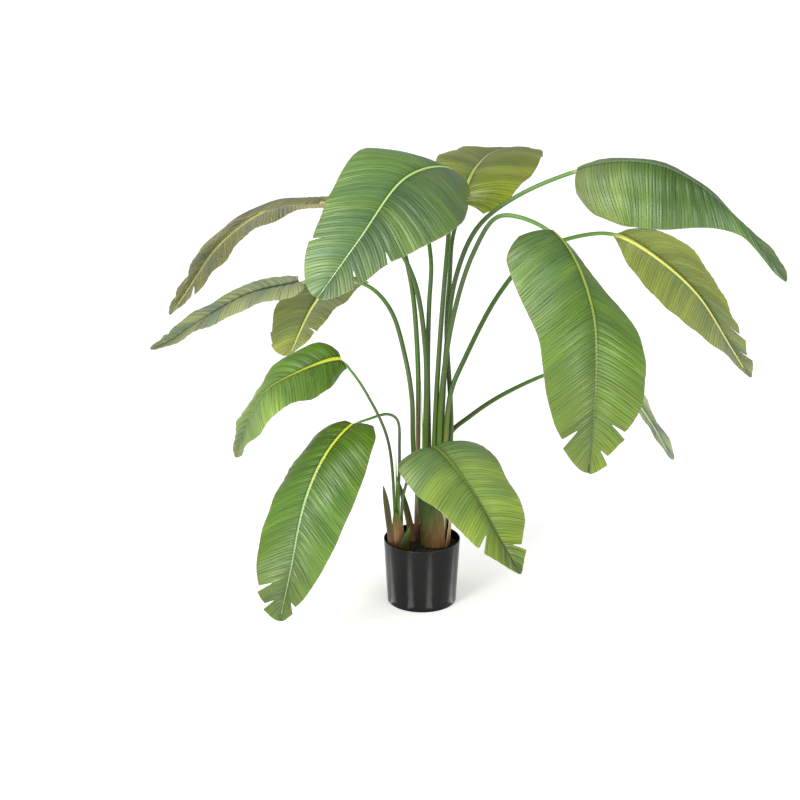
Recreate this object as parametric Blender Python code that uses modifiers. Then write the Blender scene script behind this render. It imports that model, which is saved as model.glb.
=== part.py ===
"""Potted banana plant: a black nursery pot, its soil, and arching leaves in two clumps.

Metres, +Z up. The origin is the centre of the pot's underside. Headings are degrees, from +X towards +Y.
"""
import math

import bmesh
import bpy
import numpy as np
from mathutils import Matrix, Vector

NAME = "potted_banana_plant"
GAP = 0.0003

# Pot and soil
POT_HEIGHT = 0.258
POT_RIM_RADIUS = 0.148
POT_BASE_RADIUS = 0.1335
POT_WALL = 0.003
POT_FLOOR = 0.004
RIM_ROUND = 0.001
FOOT_ROUND = 0.003
POT_STEPS = 40
SOIL_TOP = 0.228
POCKET_DEPTH = 0.024
POCKET_SIDES = 12
FOOT_Z = SOIL_TOP - POCKET_DEPTH + GAP
ON_SOIL = SOIL_TOP + 2 * GAP

# Leaves
SHEET = 0.002               # thickness of a blade
BLADE_COLUMNS = 12          # along the midrib
BLADE_ROWS = 4              # from the midrib out to each edge
SHOULDER_COLUMN = 0.02      # one more column, on the rounded base
RIB_SHARE = 0.94            # how far along the blade the veins leave the midrib
LOBE = 0.02                 # how far the edge reaches back past the blade's base
SHOULDER = 0.10             # share of the blade over which its base rounds off
SHOULDER_CUT = 0.35
VEIN_SWEEP = 0.72           # below 1 the veins lean towards the tip
VEIN_BEND = 1.25
CALM = 0.15                 # share of the blade over which its frame levels out
PETIOLE_SPACING = 0.12
MAIN_STEM = (0.0098, 0.0074, 0.0020)        # radius at the foot, at the blade and at the tip
SIDE_STEM = (0.0060, 0.0049, 0.0015)
STEM_TAPER = 3              # a stem keeps its thickness and narrows only near the blade
PATH_STEPS = 24

# Each leaf: its stem's points from the soil up, its midrib's points out to the tip, the heading of the blade,
# the half widths (left, right) seen from above looking out along it, and the tilt in degrees of each half,
# from the base to the tip. A trim scales a half's width the same way. A tear is (side, place, start, gap).
LEAVES = {
    "leaf_01": dict(
        stem=[(0.039, -0.010, FOOT_Z), (0.047, -0.007, 0.70), (0.064, -0.005, 1.05), (0.086, 0.0, 1.36),
              (0.105, 0.030, 1.55)],
        rib=[(0.130, 0.012, 1.658), (0.075, -0.034, 1.705), (-0.065, -0.180, 1.695), (-0.225, -0.400, 1.525),
             (-0.365, -0.530, 1.355)],
        heading=220, width=(0.235, 0.235), shape=(0.9, 0.5), calm=0.3,
        left=(-62, -42, -30, -25, -25), right=(-12, 25, 30, 28, 28),
        trim_left=(0.5, 0.93, 1.19, 0.79, 0.78), trim_right=(1.04, 0.95, 0.85, 0.89, 1.06),
        curl_left=(0.2, 0.14, 0.08, 0.06),
        tears=[("right", 0.74, 0.75, 0.02), ("left", 0.66, 0.75, 0.02), ("left", 0.84, 0.5, 0.02)]),
    "leaf_02": dict(
        stem=[(0.078, 0.014, FOOT_Z), (0.110, 0.022, 0.69), (0.090, 0.034, 1.09), (0.100, 0.045, 1.28),
              (0.110, 0.060, 1.43)],
        rib=[(0.145, 0.100, 1.545), (0.175, 0.180, 1.62), (0.250, 0.460, 1.655), (0.360, 0.850, 1.625)],
        heading=75, width=(0.19, 0.21), shape=(0.95, 0.5),
        left=(-10, -4, 0, 0, 0), right=(-10, -8, 1, 1, 0),
        trim_left=(0.85, 0.9, 0.97, 0.98, 0.98), trim_right=(1, 1.03, 1.04, 1.1, 1.3), tears=[]),
    "leaf_03": dict(
        stem=[(0.056, 0.003, FOOT_Z), (0.070, 0.010, 0.60), (0.088, 0.008, 1.01), (0.120, 0.0, 1.29),
              (0.198, -0.025, 1.490), (0.332, -0.075, 1.614)],
        rib=[(0.550, -0.150, 1.725), (0.690, -0.230, 1.765), (0.825, -0.300, 1.761), (0.960, -0.360, 1.696),
             (1.095, -0.400, 1.575), (1.245, -0.440, 1.39)],
        heading=-20, width=(0.24, 0.24), lobe=-0.005,
        left=(-15, -22, -18, -12, 20), right=(-60, -70, -62, -60, -60),
        trim_left=(1, 1, 0.88, 0.34, 0.72), trim_right=(0.88, 0.98, 0.86, 0.2, 0.2),
        curl_right=(0.18, 0.18, 0.15, 0.1), tears=[]),
    "leaf_04": dict(
        stem=[(0.078, -0.014, FOOT_Z), (0.090, -0.010, 0.70), (0.110, 0.0, 0.86), (0.156, 0.020, 0.97),
              (0.288, 0.090, 1.21), (0.430, 0.170, 1.35), (0.640, 0.260, 1.40)],
        rib=[(0.750, 0.280, 1.39), (0.930, 0.370, 1.27), (1.105, 0.450, 1.10), (1.240, 0.480, 0.895),
             (1.330, 0.480, 0.755)],
        heading=15, width=(0.17, 0.17), lobe=-0.01,
        left=(-35, -33, -45, -30, -15), right=(30, 31, 20, 17, 35),
        trim_left=(0.5, 1, 1.06, 1.06, 0.55), trim_right=(1.25, 1.03, 0.88, 0.95, 0.55),
        curl_right=(0.12, 0.10, 0.0, -0.05), tears=[("right", 0.70, 0.3, 0.04), ("right", 0.87, 0.2, 0.03)]),
    "leaf_05": dict(
        stem=[(0.058, -0.022, FOOT_Z), (0.064, -0.022, 0.60), (0.070, -0.020, 0.83), (0.110, -0.050, 1.15),
              (0.180, -0.100, 1.41), (0.260, -0.150, 1.555), (0.340, -0.190, 1.565)],
        rib=[(0.450, -0.240, 1.52), (0.525, -0.350, 1.44), (0.580, -0.470, 1.28), (0.590, -0.530, 1.085),
             (0.577, -0.540, 0.728)],
        heading=-60, width=(0.21, 0.22), lobe=0.006,
        left=(-60, -40, 0, 12, 22), right=(-8, -28, -20, -14, -8),
        trim_left=(1, 0.8, 0.97, 1.18, 0.94), trim_right=(1.27, 1.07, 0.96, 1.04, 1.03),
        tears=[("right", 0.83, 0.5, 0.03), ("left", 0.81, 0.5, 0.025), ("left", 0.93, 0.5, 0.03)]),
    "leaf_06": dict(
        stem=[(0.059, 0.029, FOOT_Z), (0.090, 0.042, 0.58), (0.110, 0.052, 0.67), (0.180, 0.105, 0.715),
              (0.300, 0.210, 0.763), (0.480, 0.350, 0.805)],
        rib=[(0.560, 0.385, 0.82), (0.635, 0.420, 0.815), (0.765, 0.490, 0.78), (0.950, 0.600, 0.535),
             (1.055, 0.620, 0.35)],
        heading=25, width=(0.14, 0.14),
        left=(-10, -10, -15, -20, -20), right=(10, 10, 15, 15, 15),
        trim_left=(1, 0.85, 0.5, 0.34, 0.7), trim_right=(1, 0.85, 0.5, 0.34, 0.8), tears=[]),
    "leaf_07": dict(
        stem=[(-0.022, 0.047, FOOT_Z), (-0.016, 0.038, 0.60), (-0.020, 0.030, 1.01), (-0.050, 0.040, 1.30),
              (-0.110, 0.060, 1.48), (-0.210, 0.080, 1.55)],
        rib=[(-0.355, 0.120, 1.557), (-0.575, 0.260, 1.503), (-0.776, 0.310, 1.353), (-0.920, 0.320, 1.153),
             (-0.980, 0.310, 1.065)],
        heading=165, width=(0.16, 0.16),
        left=(0, 3, 7, 7, 7), right=(-20, -22, -20, -18, -17), trim_right=(1, 1.25, 1, 1, 1),
        tears=[("left", 0.78, 0.5, 0.012), ("left", 0.90, 0.5, 0.012), ("right", 0.85, 0.5, 0.012)]),
    "leaf_08": dict(
        stem=[(0.018, -0.014, FOOT_Z), (0.010, -0.006, 0.60), (0.010, 0.0, 1.02), (-0.040, 0.020, 1.30),
              (-0.110, 0.030, 1.40), (-0.350, 0.050, 1.31)],
        rib=[(-0.460, 0.060, 1.256), (-0.645, 0.020, 1.221), (-0.825, -0.040, 1.136), (-0.937, -0.070, 1.067),
             (-1.008, -0.080, 1.040)],
        heading=190, width=(0.13, 0.14),
        left=(-10, -8, -4, 0, 2), right=(0, 0, -1, 8, 12), tears=[("right", 0.85, 0.5, 0.012)]),
    "leaf_09": dict(
        stem=[(0.013, 0.012, FOOT_Z), (-0.033, 0.002, 0.60), (-0.040, 0.010, 0.82), (-0.064, 0.040, 0.97),
              (-0.116, 0.160, 1.118), (-0.200, 0.300, 1.180)],
        rib=[(-0.270, 0.340, 1.195), (-0.338, 0.380, 1.185), (-0.431, 0.480, 1.060), (-0.540, 0.600, 0.81)],
        heading=130, width=(0.16, 0.16), shape=(0.9, 0.5),
        left=(5, 13, 15, 11, 8), right=(-18, -11, -5, 2, 5),
        trim_left=(0.9, 0.9, 0.95, 1.05, 1.25), trim_right=(1, 1, 1, 1, 0.8),
        tears=[("left", 0.68, 0.5, 0.012), ("left", 0.82, 0.5, 0.012), ("right", 0.75, 0.5, 0.012)]),
    "leaf_10": dict(
        stem=[(-0.104, -0.048, FOOT_Z), (-0.107, -0.050, 0.43), (-0.132, -0.050, 0.68), (-0.203, -0.080, 0.858),
              (-0.262, -0.090, 0.956)],
        rib=[(-0.305, -0.110, 1.005), (-0.450, -0.190, 0.985), (-0.575, -0.270, 0.93), (-0.650, -0.300, 0.785),
             (-0.680, -0.310, 0.70)],
        heading=200, width=(0.13, 0.13), stem_radii=SIDE_STEM,
        left=(-75, -30, -22, -8, 0), right=(32, 14, -12, 3, 15),
        trim_left=(0.55, 0.98, 1.17, 1.16, 0.95), trim_right=(0.85, 1, 1, 0.92, 0.88),
        curl_left=(0.17, 0.12, 0.08, 0.06),
        tears=[("right", 0.72, 0.5, 0.02)]),
    "leaf_11": dict(
        stem=[(-0.090, -0.058, FOOT_Z), (-0.091, -0.053, 0.43), (-0.087, -0.060, 0.64), (-0.094, -0.090, 0.768),
              (-0.130, -0.130, 0.806), (-0.200, -0.200, 0.811)],
        rib=[(-0.255, -0.240, 0.80), (-0.350, -0.370, 0.73), (-0.420, -0.460, 0.595), (-0.480, -0.500, 0.32),
             (-0.520, -0.500, 0.14)],
        heading=240, width=(0.17, 0.17), stem_radii=SIDE_STEM,
        left=(0, -12, -17, -7, -5), right=(-12, -25, -13, 13, 25),
        trim_left=(0.93, 1.02, 1, 0.92, 0.72), trim_right=(0.87, 0.95, 0.95, 1.13, 1.35),
        tears=[("right", 0.84, 0.5, 0.02), ("right", 0.93, 0.5, 0.02), ("left", 0.90, 0.6, 0.025)]),
    "leaf_12": dict(
        stem=[(-0.077, -0.045, FOOT_Z), (-0.076, -0.055, 0.43), (-0.060, -0.070, 0.51), (-0.030, -0.110, 0.60)],
        rib=[(0.035, -0.200, 0.695), (0.160, -0.390, 0.615), (0.275, -0.510, 0.45), (0.345, -0.540, 0.34)],
        heading=-50, width=(0.19, 0.18), stem_radii=SIDE_STEM,
        left=(0, 5, 4, 1, 0), right=(-15, -25, -4, 2, 0),
        trim_left=(1.03, 0.97, 0.93, 1.06, 0.6), trim_right=(1.2, 1.02, 0.97, 0.86, 0.4),
        tears=[("right", 0.70, 0.5, 0.025), ("left", 0.85, 0.4, 0.025)]),
    "leaf_13": dict(
        stem=[(0.032, 0.019, FOOT_Z), (0.026, 0.024, 0.60), (0.020, 0.030, 0.97), (0.024, 0.036, 1.18),
              (0.030, 0.050, 1.35)],
        rib=[(0.0, 0.130, 1.49), (-0.070, 0.310, 1.51), (-0.170, 0.560, 1.38), (-0.210, 0.650, 1.26)],
        heading=112, width=(0.13, 0.13),
        left=(5, 0, -5, -5, 0), right=(5, 0, -5, -5, 0), tears=[("left", 0.70, 0.5, 0.02)]),
}

# Sheaths stand on the soil around a clump: an oval that leans and opens as it rises from the soil to
# SHEATH_RISE, cut to a point. Angles are degrees around the oval, -90 at the front. A low taper starts
# narrowing nearer the soil.
SHEATH_RISE = 0.20
SHEATH_WALL = 0.0025
SHEATHS = {
    "trunk_sheath_front": dict(centre=(0.054, 0.0), top_centre=(0.044, 0.004), radii=(0.054, 0.042),
                               top_radii=(0.070, 0.046), span=(-168, -49), point=-112, height=0.29),
    "trunk_sheath_right": dict(centre=(0.054, 0.0), top_centre=(0.046, 0.004), radii=(0.054, 0.042),
                               top_radii=(0.072, 0.046), span=(-45, 16), point=-14, height=0.15, taper=1.5),
    "trunk_sheath_back": dict(centre=(0.054, 0.002), top_centre=(0.050, 0.004), radii=(0.054, 0.044),
                              top_radii=(0.070, 0.050), span=(24, 150), point=80, height=0.24),
    "side_sheath_front": dict(centre=(-0.091, -0.048), top_centre=(-0.092, -0.051), radii=(0.0225, 0.0225),
                              top_radii=(0.026, 0.020), span=(-176, -4), point=-120, height=0.17),
    "side_sheath_back": dict(centre=(-0.091, -0.048), top_centre=(-0.092, -0.048), radii=(0.0225, 0.0225),
                             top_radii=(0.026, 0.022), span=(6, 174), point=100, height=0.13),
}

# Bracts: a pointed cupped sheet from foot to tip. Its hollow side faces the given heading, which turns by
# twist degrees on the way up. A high blunt keeps its width nearly to the tip.
BRACT_WALL = 0.003
BRACTS = {
    "bract_left": dict(foot=(-0.1240, -0.057), tip=(-0.148, -0.062, 0.495), half_width=0.0165, cup=0.006, blunt=5,
                       facing=35, twist=30),
    "bract_front": dict(foot=(-0.070, -0.089), tip=(-0.048, -0.093, 0.340), half_width=0.021, cup=0.007,
                        facing=110),
    "bract_rear": dict(foot=(-0.038, 0.022), tip=(-0.098, 0.030, 0.50), half_width=0.014, cup=0.005, blunt=3.5,
                       facing=75),
}

# Furled spears: thin tapering rolls planted in the soil.
SPEARS = {
    "trunk_spear": dict(path=[(-0.001, -0.003, FOOT_Z), (-0.003, -0.008, 0.37), (0.001, -0.020, 0.62),
                              (-0.006, -0.022, 0.90)],
                        radius=0.0036),
    "side_spear": dict(path=[(-0.094, -0.0355, FOOT_Z), (-0.098, -0.036, 0.42), (-0.101, -0.036, 0.64)],
                       radius=0.0034),
}

COLOURS = {
    "pot": ((0.018, 0.018, 0.020), 0.35),
    "soil": ((0.020, 0.018, 0.016), 0.95),
    "blade": ((0.12, 0.27, 0.05), 0.45),
    "stalk": ((0.16, 0.30, 0.07), 0.45),
    "sheath": ((0.16, 0.12, 0.06), 0.7),
    "bract": ((0.12, 0.14, 0.05), 0.6),
    "spear": ((0.30, 0.42, 0.16), 0.5),
}


def empty_scene():
    for obj in list(bpy.data.objects):
        bpy.data.objects.remove(obj, do_unlink=True)


def new_collection(name):
    collection = bpy.data.collections.new(name)
    bpy.context.scene.collection.children.link(collection)
    return collection


def new_material(kind, name):
    colour, roughness = COLOURS[kind]
    material = bpy.data.materials.new(name)
    material.use_nodes = True
    shader = material.node_tree.nodes["Principled BSDF"]
    shader.inputs["Base Color"].default_value = (*colour, 1.0)
    shader.inputs["Roughness"].default_value = roughness
    shader.inputs["Metallic"].default_value = 0.0
    material.diffuse_color = (*colour, 1.0)
    return material


def place(name, data, kind, collection):
    """An object of the plant, in its collection and with its own material."""
    obj = bpy.data.objects.new(name, data)
    obj.data.materials.append(new_material(kind, name))
    collection.objects.link(obj)
    return obj


def mesh_from(bm, name):
    mesh = bpy.data.meshes.new(name)
    bm.to_mesh(mesh)
    bm.free()
    mesh.shade_smooth()
    return mesh


def smooth_path(points):
    """Points along the centripetal Catmull-Rom curve that passes through the given ones."""
    p = np.array(points, float)
    p = np.vstack([2 * p[0] - p[1], p, 2 * p[-1] - p[-2]])
    curve = []
    for p0, p1, p2, p3 in zip(p, p[1:], p[2:], p[3:]):
        t1 = math.sqrt(np.linalg.norm(p1 - p0))
        t2 = t1 + math.sqrt(np.linalg.norm(p2 - p1))
        t3 = t2 + math.sqrt(np.linalg.norm(p3 - p2))
        for t in np.linspace(t1, t2, PATH_STEPS, endpoint=False):
            a1 = ((t1 - t) * p0 + t * p1) / t1
            a2 = ((t2 - t) * p1 + (t - t1) * p2) / (t2 - t1)
            a3 = ((t3 - t) * p2 + (t - t2) * p3) / (t3 - t2)
            b1 = ((t2 - t) * a1 + t * a2) / t2
            b2 = ((t3 - t) * a2 + (t - t1) * a3) / (t3 - t1)
            curve.append(((t2 - t) * b1 + (t - t1) * b2) / (t2 - t1))
    curve.append(p[-2])
    return np.array(curve)


def blend(values, t):
    """A smooth curve through equally spaced values, read at t from 0 to 1."""
    v = np.array([values[0], *values, values[-1]], float)
    x = np.clip(t, 0, 1) * (len(values) - 1)
    i = np.minimum(x.astype(int), len(values) - 2)
    f = x - i
    v0, v1, v2, v3 = v[i], v[i + 1], v[i + 2], v[i + 3]
    return v1 + 0.5 * f * (v2 - v0 + f * (2 * v0 - 5 * v1 + 4 * v2 - v3 + f * (3 * (v1 - v2) + v3 - v0)))


class Leaf:
    """One leaf: a path up the stem and out along the midrib, and the sheet that hangs from it."""

    def __init__(self, spec):
        self.spec = spec
        self.points = smooth_path(spec["stem"] + spec["rib"])
        steps = np.linalg.norm(np.diff(self.points, axis=0), axis=1)
        self.arc = np.concatenate([[0.0], np.cumsum(steps)])
        self.base = self.arc[PATH_STEPS * len(spec["stem"])]
        self.length = self.arc[-1] - self.base
        slope = np.gradient(self.points, axis=0)
        self.slopes = slope / np.linalg.norm(slope, axis=1)[:, None]

    def at(self, along):
        """Position and direction of the path, measured from the blade's base."""
        arc = self.base + along
        position = np.stack([np.interp(arc, self.arc, self.points[:, k]) for k in range(3)], -1)
        direction = np.stack([np.interp(arc, self.arc, self.slopes[:, k]) for k in range(3)], -1)
        return position, direction / np.linalg.norm(direction, axis=-1, keepdims=True)

    def radius(self, along):
        """The stem's radius: foot to blade, then blade to tip."""
        foot, neck, tip = self.spec.get("stem_radii", MAIN_STEM)
        stem = foot + (neck - foot) * np.clip((along + self.base) / self.base, 0, 1) ** STEM_TAPER
        rib = neck + (tip - neck) * np.clip(along / self.length, 0, 1)
        return np.where(along < 0, stem, rib)

    def frame(self, direction):
        """Level right-hand side and upward normal of the path."""
        heading = math.radians(self.spec["heading"])
        right = np.array([math.sin(heading), -math.cos(heading), 0.0])
        right = right - direction * (direction @ right)[..., None]
        right = right / np.linalg.norm(right, axis=-1, keepdims=True)
        return right, np.cross(right, direction)

    def lift(self, along):
        """How far the sheet rides above the stem's centre, more where a half falls away steeply."""
        steepest = 0.0
        for side in ("left", "right"):
            tilt, curl = self.pose(side, along)
            steepest = np.maximum(steepest, -tilt - np.arctan(3 * curl))
        return (self.radius(along) + SHEET / 2 + 2 * GAP) / np.cos(steepest)

    def pose(self, side, along):
        """A half's tilt in radians and its curl, as a share of its width."""
        share = along / self.length
        curl = blend(self.spec.get("curl_" + side, (0.12, 0.10, 0.08, 0.06)), share)
        return np.radians(blend(self.spec[side], share)), curl

    def half(self, side, u, r):
        """Points of one half of the blade. u runs along the midrib, r from 0 on it to 1 at the edge."""
        spec, length = self.spec, self.length
        hand = 1 if side == "left" else -1
        lobe = spec.get("lobe", LOBE)
        edge = -lobe * length + (1 + lobe) * length * u ** VEIN_SWEEP
        t = (edge / length + lobe) / (1 + lobe)
        fullness, bluntness = spec.get("shape", (0.8, 0.55))
        outline = np.sin(math.pi * np.clip(0.12 + 0.88 * t, 0, 1) ** fullness) ** bluntness
        width = spec["width"][0 if side == "left" else 1] * outline
        width = width * blend(spec.get("trim_" + side, (1, 1)), t)
        width = width * (1 - SHOULDER_CUT * np.clip(1 - t / SHOULDER, 0, 1) ** 2)
        along = u * RIB_SHARE * length
        along = along + (edge - along) * r ** VEIN_BEND

        position, direction = self.at(along)
        _, up = self.frame(direction)
        level = np.hypot(np.maximum(along, 0), spec.get("calm", CALM) * length)
        _, level_direction = self.at(level)
        right, level_up = self.frame(level_direction)
        tilt, curl = self.pose(side, along)
        out = np.cos(tilt)[..., None] * (-hand * right) + np.sin(tilt)[..., None] * level_up
        normal = np.cross(level_direction, hand * out)
        bulge = 4 * curl * width * r * (1 - r)
        return position + up * self.lift(along)[..., None] + out * (width * r)[..., None] + normal * bulge[..., None]


def blade_columns(spec):
    """Places along the midrib where the veins start. Each tear has its place twice, one for each lip."""
    tears = sorted({tear[1] for tear in spec["tears"]})
    regular = [SHOULDER_COLUMN] + [k / BLADE_COLUMNS for k in range(BLADE_COLUMNS + 1)]
    regular = [u for u in regular if all(abs(u - tear) > 0.4 / BLADE_COLUMNS for tear in tears)]
    return sorted(regular + tears + tears)


def tear_shift(leaf, side, column, u, r, tears_at):
    """How far a torn edge is pulled along the midrib, away from each tear of its side."""
    shift = 0.0
    for tear_side, place_u, start, gap in leaf.spec["tears"]:
        if tear_side == side and r > start:
            open_share = (r - start) / (1 - start)
            direction = 1 if column >= tears_at[place_u] else -1
            shift += direction * gap / 2 * open_share * math.exp(-abs(u - place_u) / 0.06)
    return shift


def blade_mesh(leaf, name):
    """A grid bent over the midrib. A tear doubles a column and leaves out the faces between the two."""
    columns = blade_columns(leaf.spec)
    tears_at = {u: column for column, u in enumerate(columns) if columns.count(u) > 1}
    bm = bmesh.new()
    bmesh.ops.create_grid(bm, x_segments=len(columns) - 1, y_segments=2 * BLADE_ROWS, size=0.5)
    cell = {}
    for vert in bm.verts:
        column = round((vert.co.x + 0.5) * (len(columns) - 1))
        row = round(vert.co.y * 2 * BLADE_ROWS)
        cell[vert] = (column, row)
        side = "left" if row >= 0 else "right"
        u = columns[column]
        r = abs(row) / BLADE_ROWS
        point = leaf.half(side, np.array(u), np.array(r))
        shift = tear_shift(leaf, side, column, u, r, tears_at)
        _, direction = leaf.at(np.array(u * leaf.length))
        vert.co = point + direction * shift
    slits = []
    for tear_side, place_u, start, _ in leaf.spec["tears"]:
        hand = 1 if tear_side == "left" else -1
        last = tears_at[place_u]
        for face in bm.faces:
            cells = [cell[vert] for vert in face.verts]
            in_slit = {column for column, _ in cells} == {last - 1, last}
            if in_slit and all(hand * row / BLADE_ROWS >= start - 0.01 for _, row in cells):
                slits.append(face)
    bmesh.ops.delete(bm, geom=slits, context="FACES")
    bmesh.ops.remove_doubles(bm, verts=bm.verts, dist=0.00002)
    return mesh_from(bm, name)


def thicken(obj, thickness):
    solidify = obj.modifiers.new("thickness", "SOLIDIFY")
    solidify.thickness = thickness
    solidify.offset = 0.0


def tube(name, points, radii, kind, collection):
    """A tapering round stem through the points."""
    curve = bpy.data.curves.new(name, "CURVE")
    curve.dimensions = "3D"
    curve.bevel_depth = 1.0
    curve.bevel_resolution = 2
    curve.use_fill_caps = True
    spline = curve.splines.new("POLY")
    spline.points.add(len(points) - 1)
    for point, position, radius in zip(spline.points, points, radii):
        point.co = (*position, 1.0)
        point.radius = float(radius)
    return place(name, curve, kind, collection)


def leaf(name, spec, collection):
    """A leaf's stem with its midrib, and the blade that lies on it."""
    shape = Leaf(spec)
    petiole = np.linspace(-shape.base, 0, round(shape.base / PETIOLE_SPACING) + 1)
    midrib = np.array(sorted(set(blade_columns(spec)))) * RIB_SHARE * shape.length
    along = np.concatenate([petiole, midrib[1:]])
    positions, _ = shape.at(along)
    tube(name + "_stalk", positions, shape.radius(along), "stalk", collection)
    blade = place(name + "_blade", blade_mesh(shape, name + "_blade"), "blade", collection)
    thicken(blade, SHEET)


def sheath(name, spec, collection, columns=10, rows=6):
    """A leaf base that wraps part of a clump and narrows to a point."""
    bm = bmesh.new()
    bmesh.ops.create_grid(bm, x_segments=columns, y_segments=rows, size=0.5)
    low, high = spec["span"]
    for vert in bm.verts:
        rise = vert.co.y + 0.5
        narrowed = 0.96 * rise ** spec.get("taper", 2.2)
        angle = low + (high - low) * (vert.co.x + 0.5)
        angle = math.radians(angle + (spec["point"] - angle) * narrowed)
        height = rise * spec["height"]
        opening = height / SHEATH_RISE
        centre = [a + (b - a) * opening for a, b in zip(spec["centre"], spec["top_centre"])]
        radii = [a + (b - a) * opening for a, b in zip(spec["radii"], spec["top_radii"])]
        vert.co = (centre[0] + radii[0] * math.cos(angle), centre[1] + radii[1] * math.sin(angle),
                   ON_SOIL + height)
    thicken(place(name, mesh_from(bm, name), "sheath", collection), SHEATH_WALL)


def bract(name, spec, collection, columns=4, rows=7):
    """A loose pointed bract, hollow on one side."""
    foot = np.array([*spec["foot"], ON_SOIL])
    reach = np.array(spec["tip"]) - foot
    bm = bmesh.new()
    bmesh.ops.create_grid(bm, x_segments=columns, y_segments=rows, size=0.5)
    for vert in bm.verts:
        rise = vert.co.y + 0.5
        v = 2 * vert.co.x
        facing = math.radians(spec["facing"] + spec.get("twist", 0) * rise)
        hollow = np.array([math.cos(facing), math.sin(facing), 0.0])
        across = np.array([-math.sin(facing), math.cos(facing), 0.0])
        lean = np.array([reach[0] * rise ** 1.4, reach[1] * rise ** 1.4, reach[2] * rise])
        half_width = spec["half_width"] * (0.06 + 0.94 * (1 - rise ** spec.get("blunt", 2.4)))
        cup = spec["cup"] * v * v * half_width / spec["half_width"]
        vert.co = foot + lean + across * (half_width * v) + hollow * cup
    thicken(place(name, mesh_from(bm, name), "bract", collection), BRACT_WALL)


def spear(name, spec, collection, steps=10):
    """A furled new leaf: a thin roll that tapers over its upper part."""
    path = smooth_path(spec["path"])
    picks = np.linspace(0, len(path) - 1, steps).round().astype(int)
    share = picks / (len(path) - 1)
    radii = spec["radius"] * (1 - 0.75 * np.clip((share - 0.5) / 0.5, 0, 1) ** 1.6)
    tube(name, path[picks], radii, "spear", collection)


def pot_radius(z):
    return POT_BASE_RADIUS + (POT_RIM_RADIUS - POT_BASE_RADIUS) * z / POT_HEIGHT


def pot(collection):
    """The pot, turned from its profile: inner floor, inner wall, rim, outer wall, underside."""
    profile = [
        (0.0, POT_FLOOR),
        (pot_radius(POT_FLOOR) - POT_WALL, POT_FLOOR),
        (POT_RIM_RADIUS - POT_WALL, POT_HEIGHT - RIM_ROUND),
        (POT_RIM_RADIUS - POT_WALL + RIM_ROUND, POT_HEIGHT),
        (POT_RIM_RADIUS - RIM_ROUND, POT_HEIGHT),
        (POT_RIM_RADIUS, POT_HEIGHT - RIM_ROUND),
        (pot_radius(FOOT_ROUND), FOOT_ROUND),
        (POT_BASE_RADIUS - FOOT_ROUND, 0.0),
        (0.0, 0.0),
    ]
    bm = bmesh.new()
    verts = [bm.verts.new((x, 0.0, z)) for x, z in profile]
    for a, b in zip(verts, verts[1:]):
        bm.edges.new((a, b))
    obj = place("pot", mesh_from(bm, "pot"), "pot", collection)
    screw = obj.modifiers.new("turn", "SCREW")
    screw.steps = POT_STEPS
    screw.render_steps = POT_STEPS
    screw.use_merge_vertices = True
    screw.merge_threshold = 0.00005


def soil(collection, cutters):
    """The fill, with a pocket for each planted stem."""
    feet = [(spec["stem"], spec.get("stem_radii", MAIN_STEM)[0]) for spec in LEAVES.values()]
    feet += [(spec["path"], spec["radius"]) for spec in SPEARS.values()]
    bm = bmesh.new()
    for points, radius in feet:
        foot = Vector(points[0])
        lean = (Vector(points[1]) - foot).normalized()
        middle = foot + lean * (POCKET_DEPTH - GAP)
        turn = lean.to_track_quat("Z", "Y").to_matrix().to_4x4()
        bmesh.ops.create_cone(bm, cap_ends=True, segments=POCKET_SIDES, radius1=radius + 3 * GAP,
                              radius2=radius + 3 * GAP, depth=2 * POCKET_DEPTH,
                              matrix=Matrix.Translation(middle) @ turn)
    cutter = bpy.data.objects.new("pockets", mesh_from(bm, "pockets"))
    cutter.hide_render = True
    cutter.display_type = "WIRE"
    cutters.objects.link(cutter)

    low = POT_FLOOR + GAP
    depth = SOIL_TOP - low
    bm = bmesh.new()
    bmesh.ops.create_cone(bm, cap_ends=True, segments=POT_STEPS, depth=depth,
                          radius1=pot_radius(low) - POT_WALL - 2 * GAP,
                          radius2=pot_radius(SOIL_TOP) - POT_WALL - 2 * GAP)
    bmesh.ops.translate(bm, verts=bm.verts, vec=(0, 0, low + depth / 2))
    body = place("soil", mesh_from(bm, "soil"), "soil", collection)
    cut = body.modifiers.new("pockets", "BOOLEAN")
    cut.object = cutter
    cut.operation = "DIFFERENCE"


def main():
    empty_scene()
    plant = new_collection(NAME)
    cutters = new_collection("cutters")
    pot(plant)
    soil(plant, cutters)
    for name, spec in LEAVES.items():
        leaf(name, spec, plant)
    for name, spec in SHEATHS.items():
        sheath(name, spec, plant)
    for name, spec in BRACTS.items():
        bract(name, spec, plant)
    for name, spec in SPEARS.items():
        spear(name, spec, plant)


main()
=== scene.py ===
# %% [markdown]
# # A potted banana plant
# This is an artificial banana plant: printed leaf sheets glued on plastic stems, and two clumps of stems set
# in the soil of a plain black nursery pot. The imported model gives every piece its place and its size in
# metres. Here each piece is made again with the detail that the eye expects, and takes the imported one's place.

# %% Load the frame
import math

import bmesh
import bpy
import numpy as np
from mathutils import Matrix, Vector, noise


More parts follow.
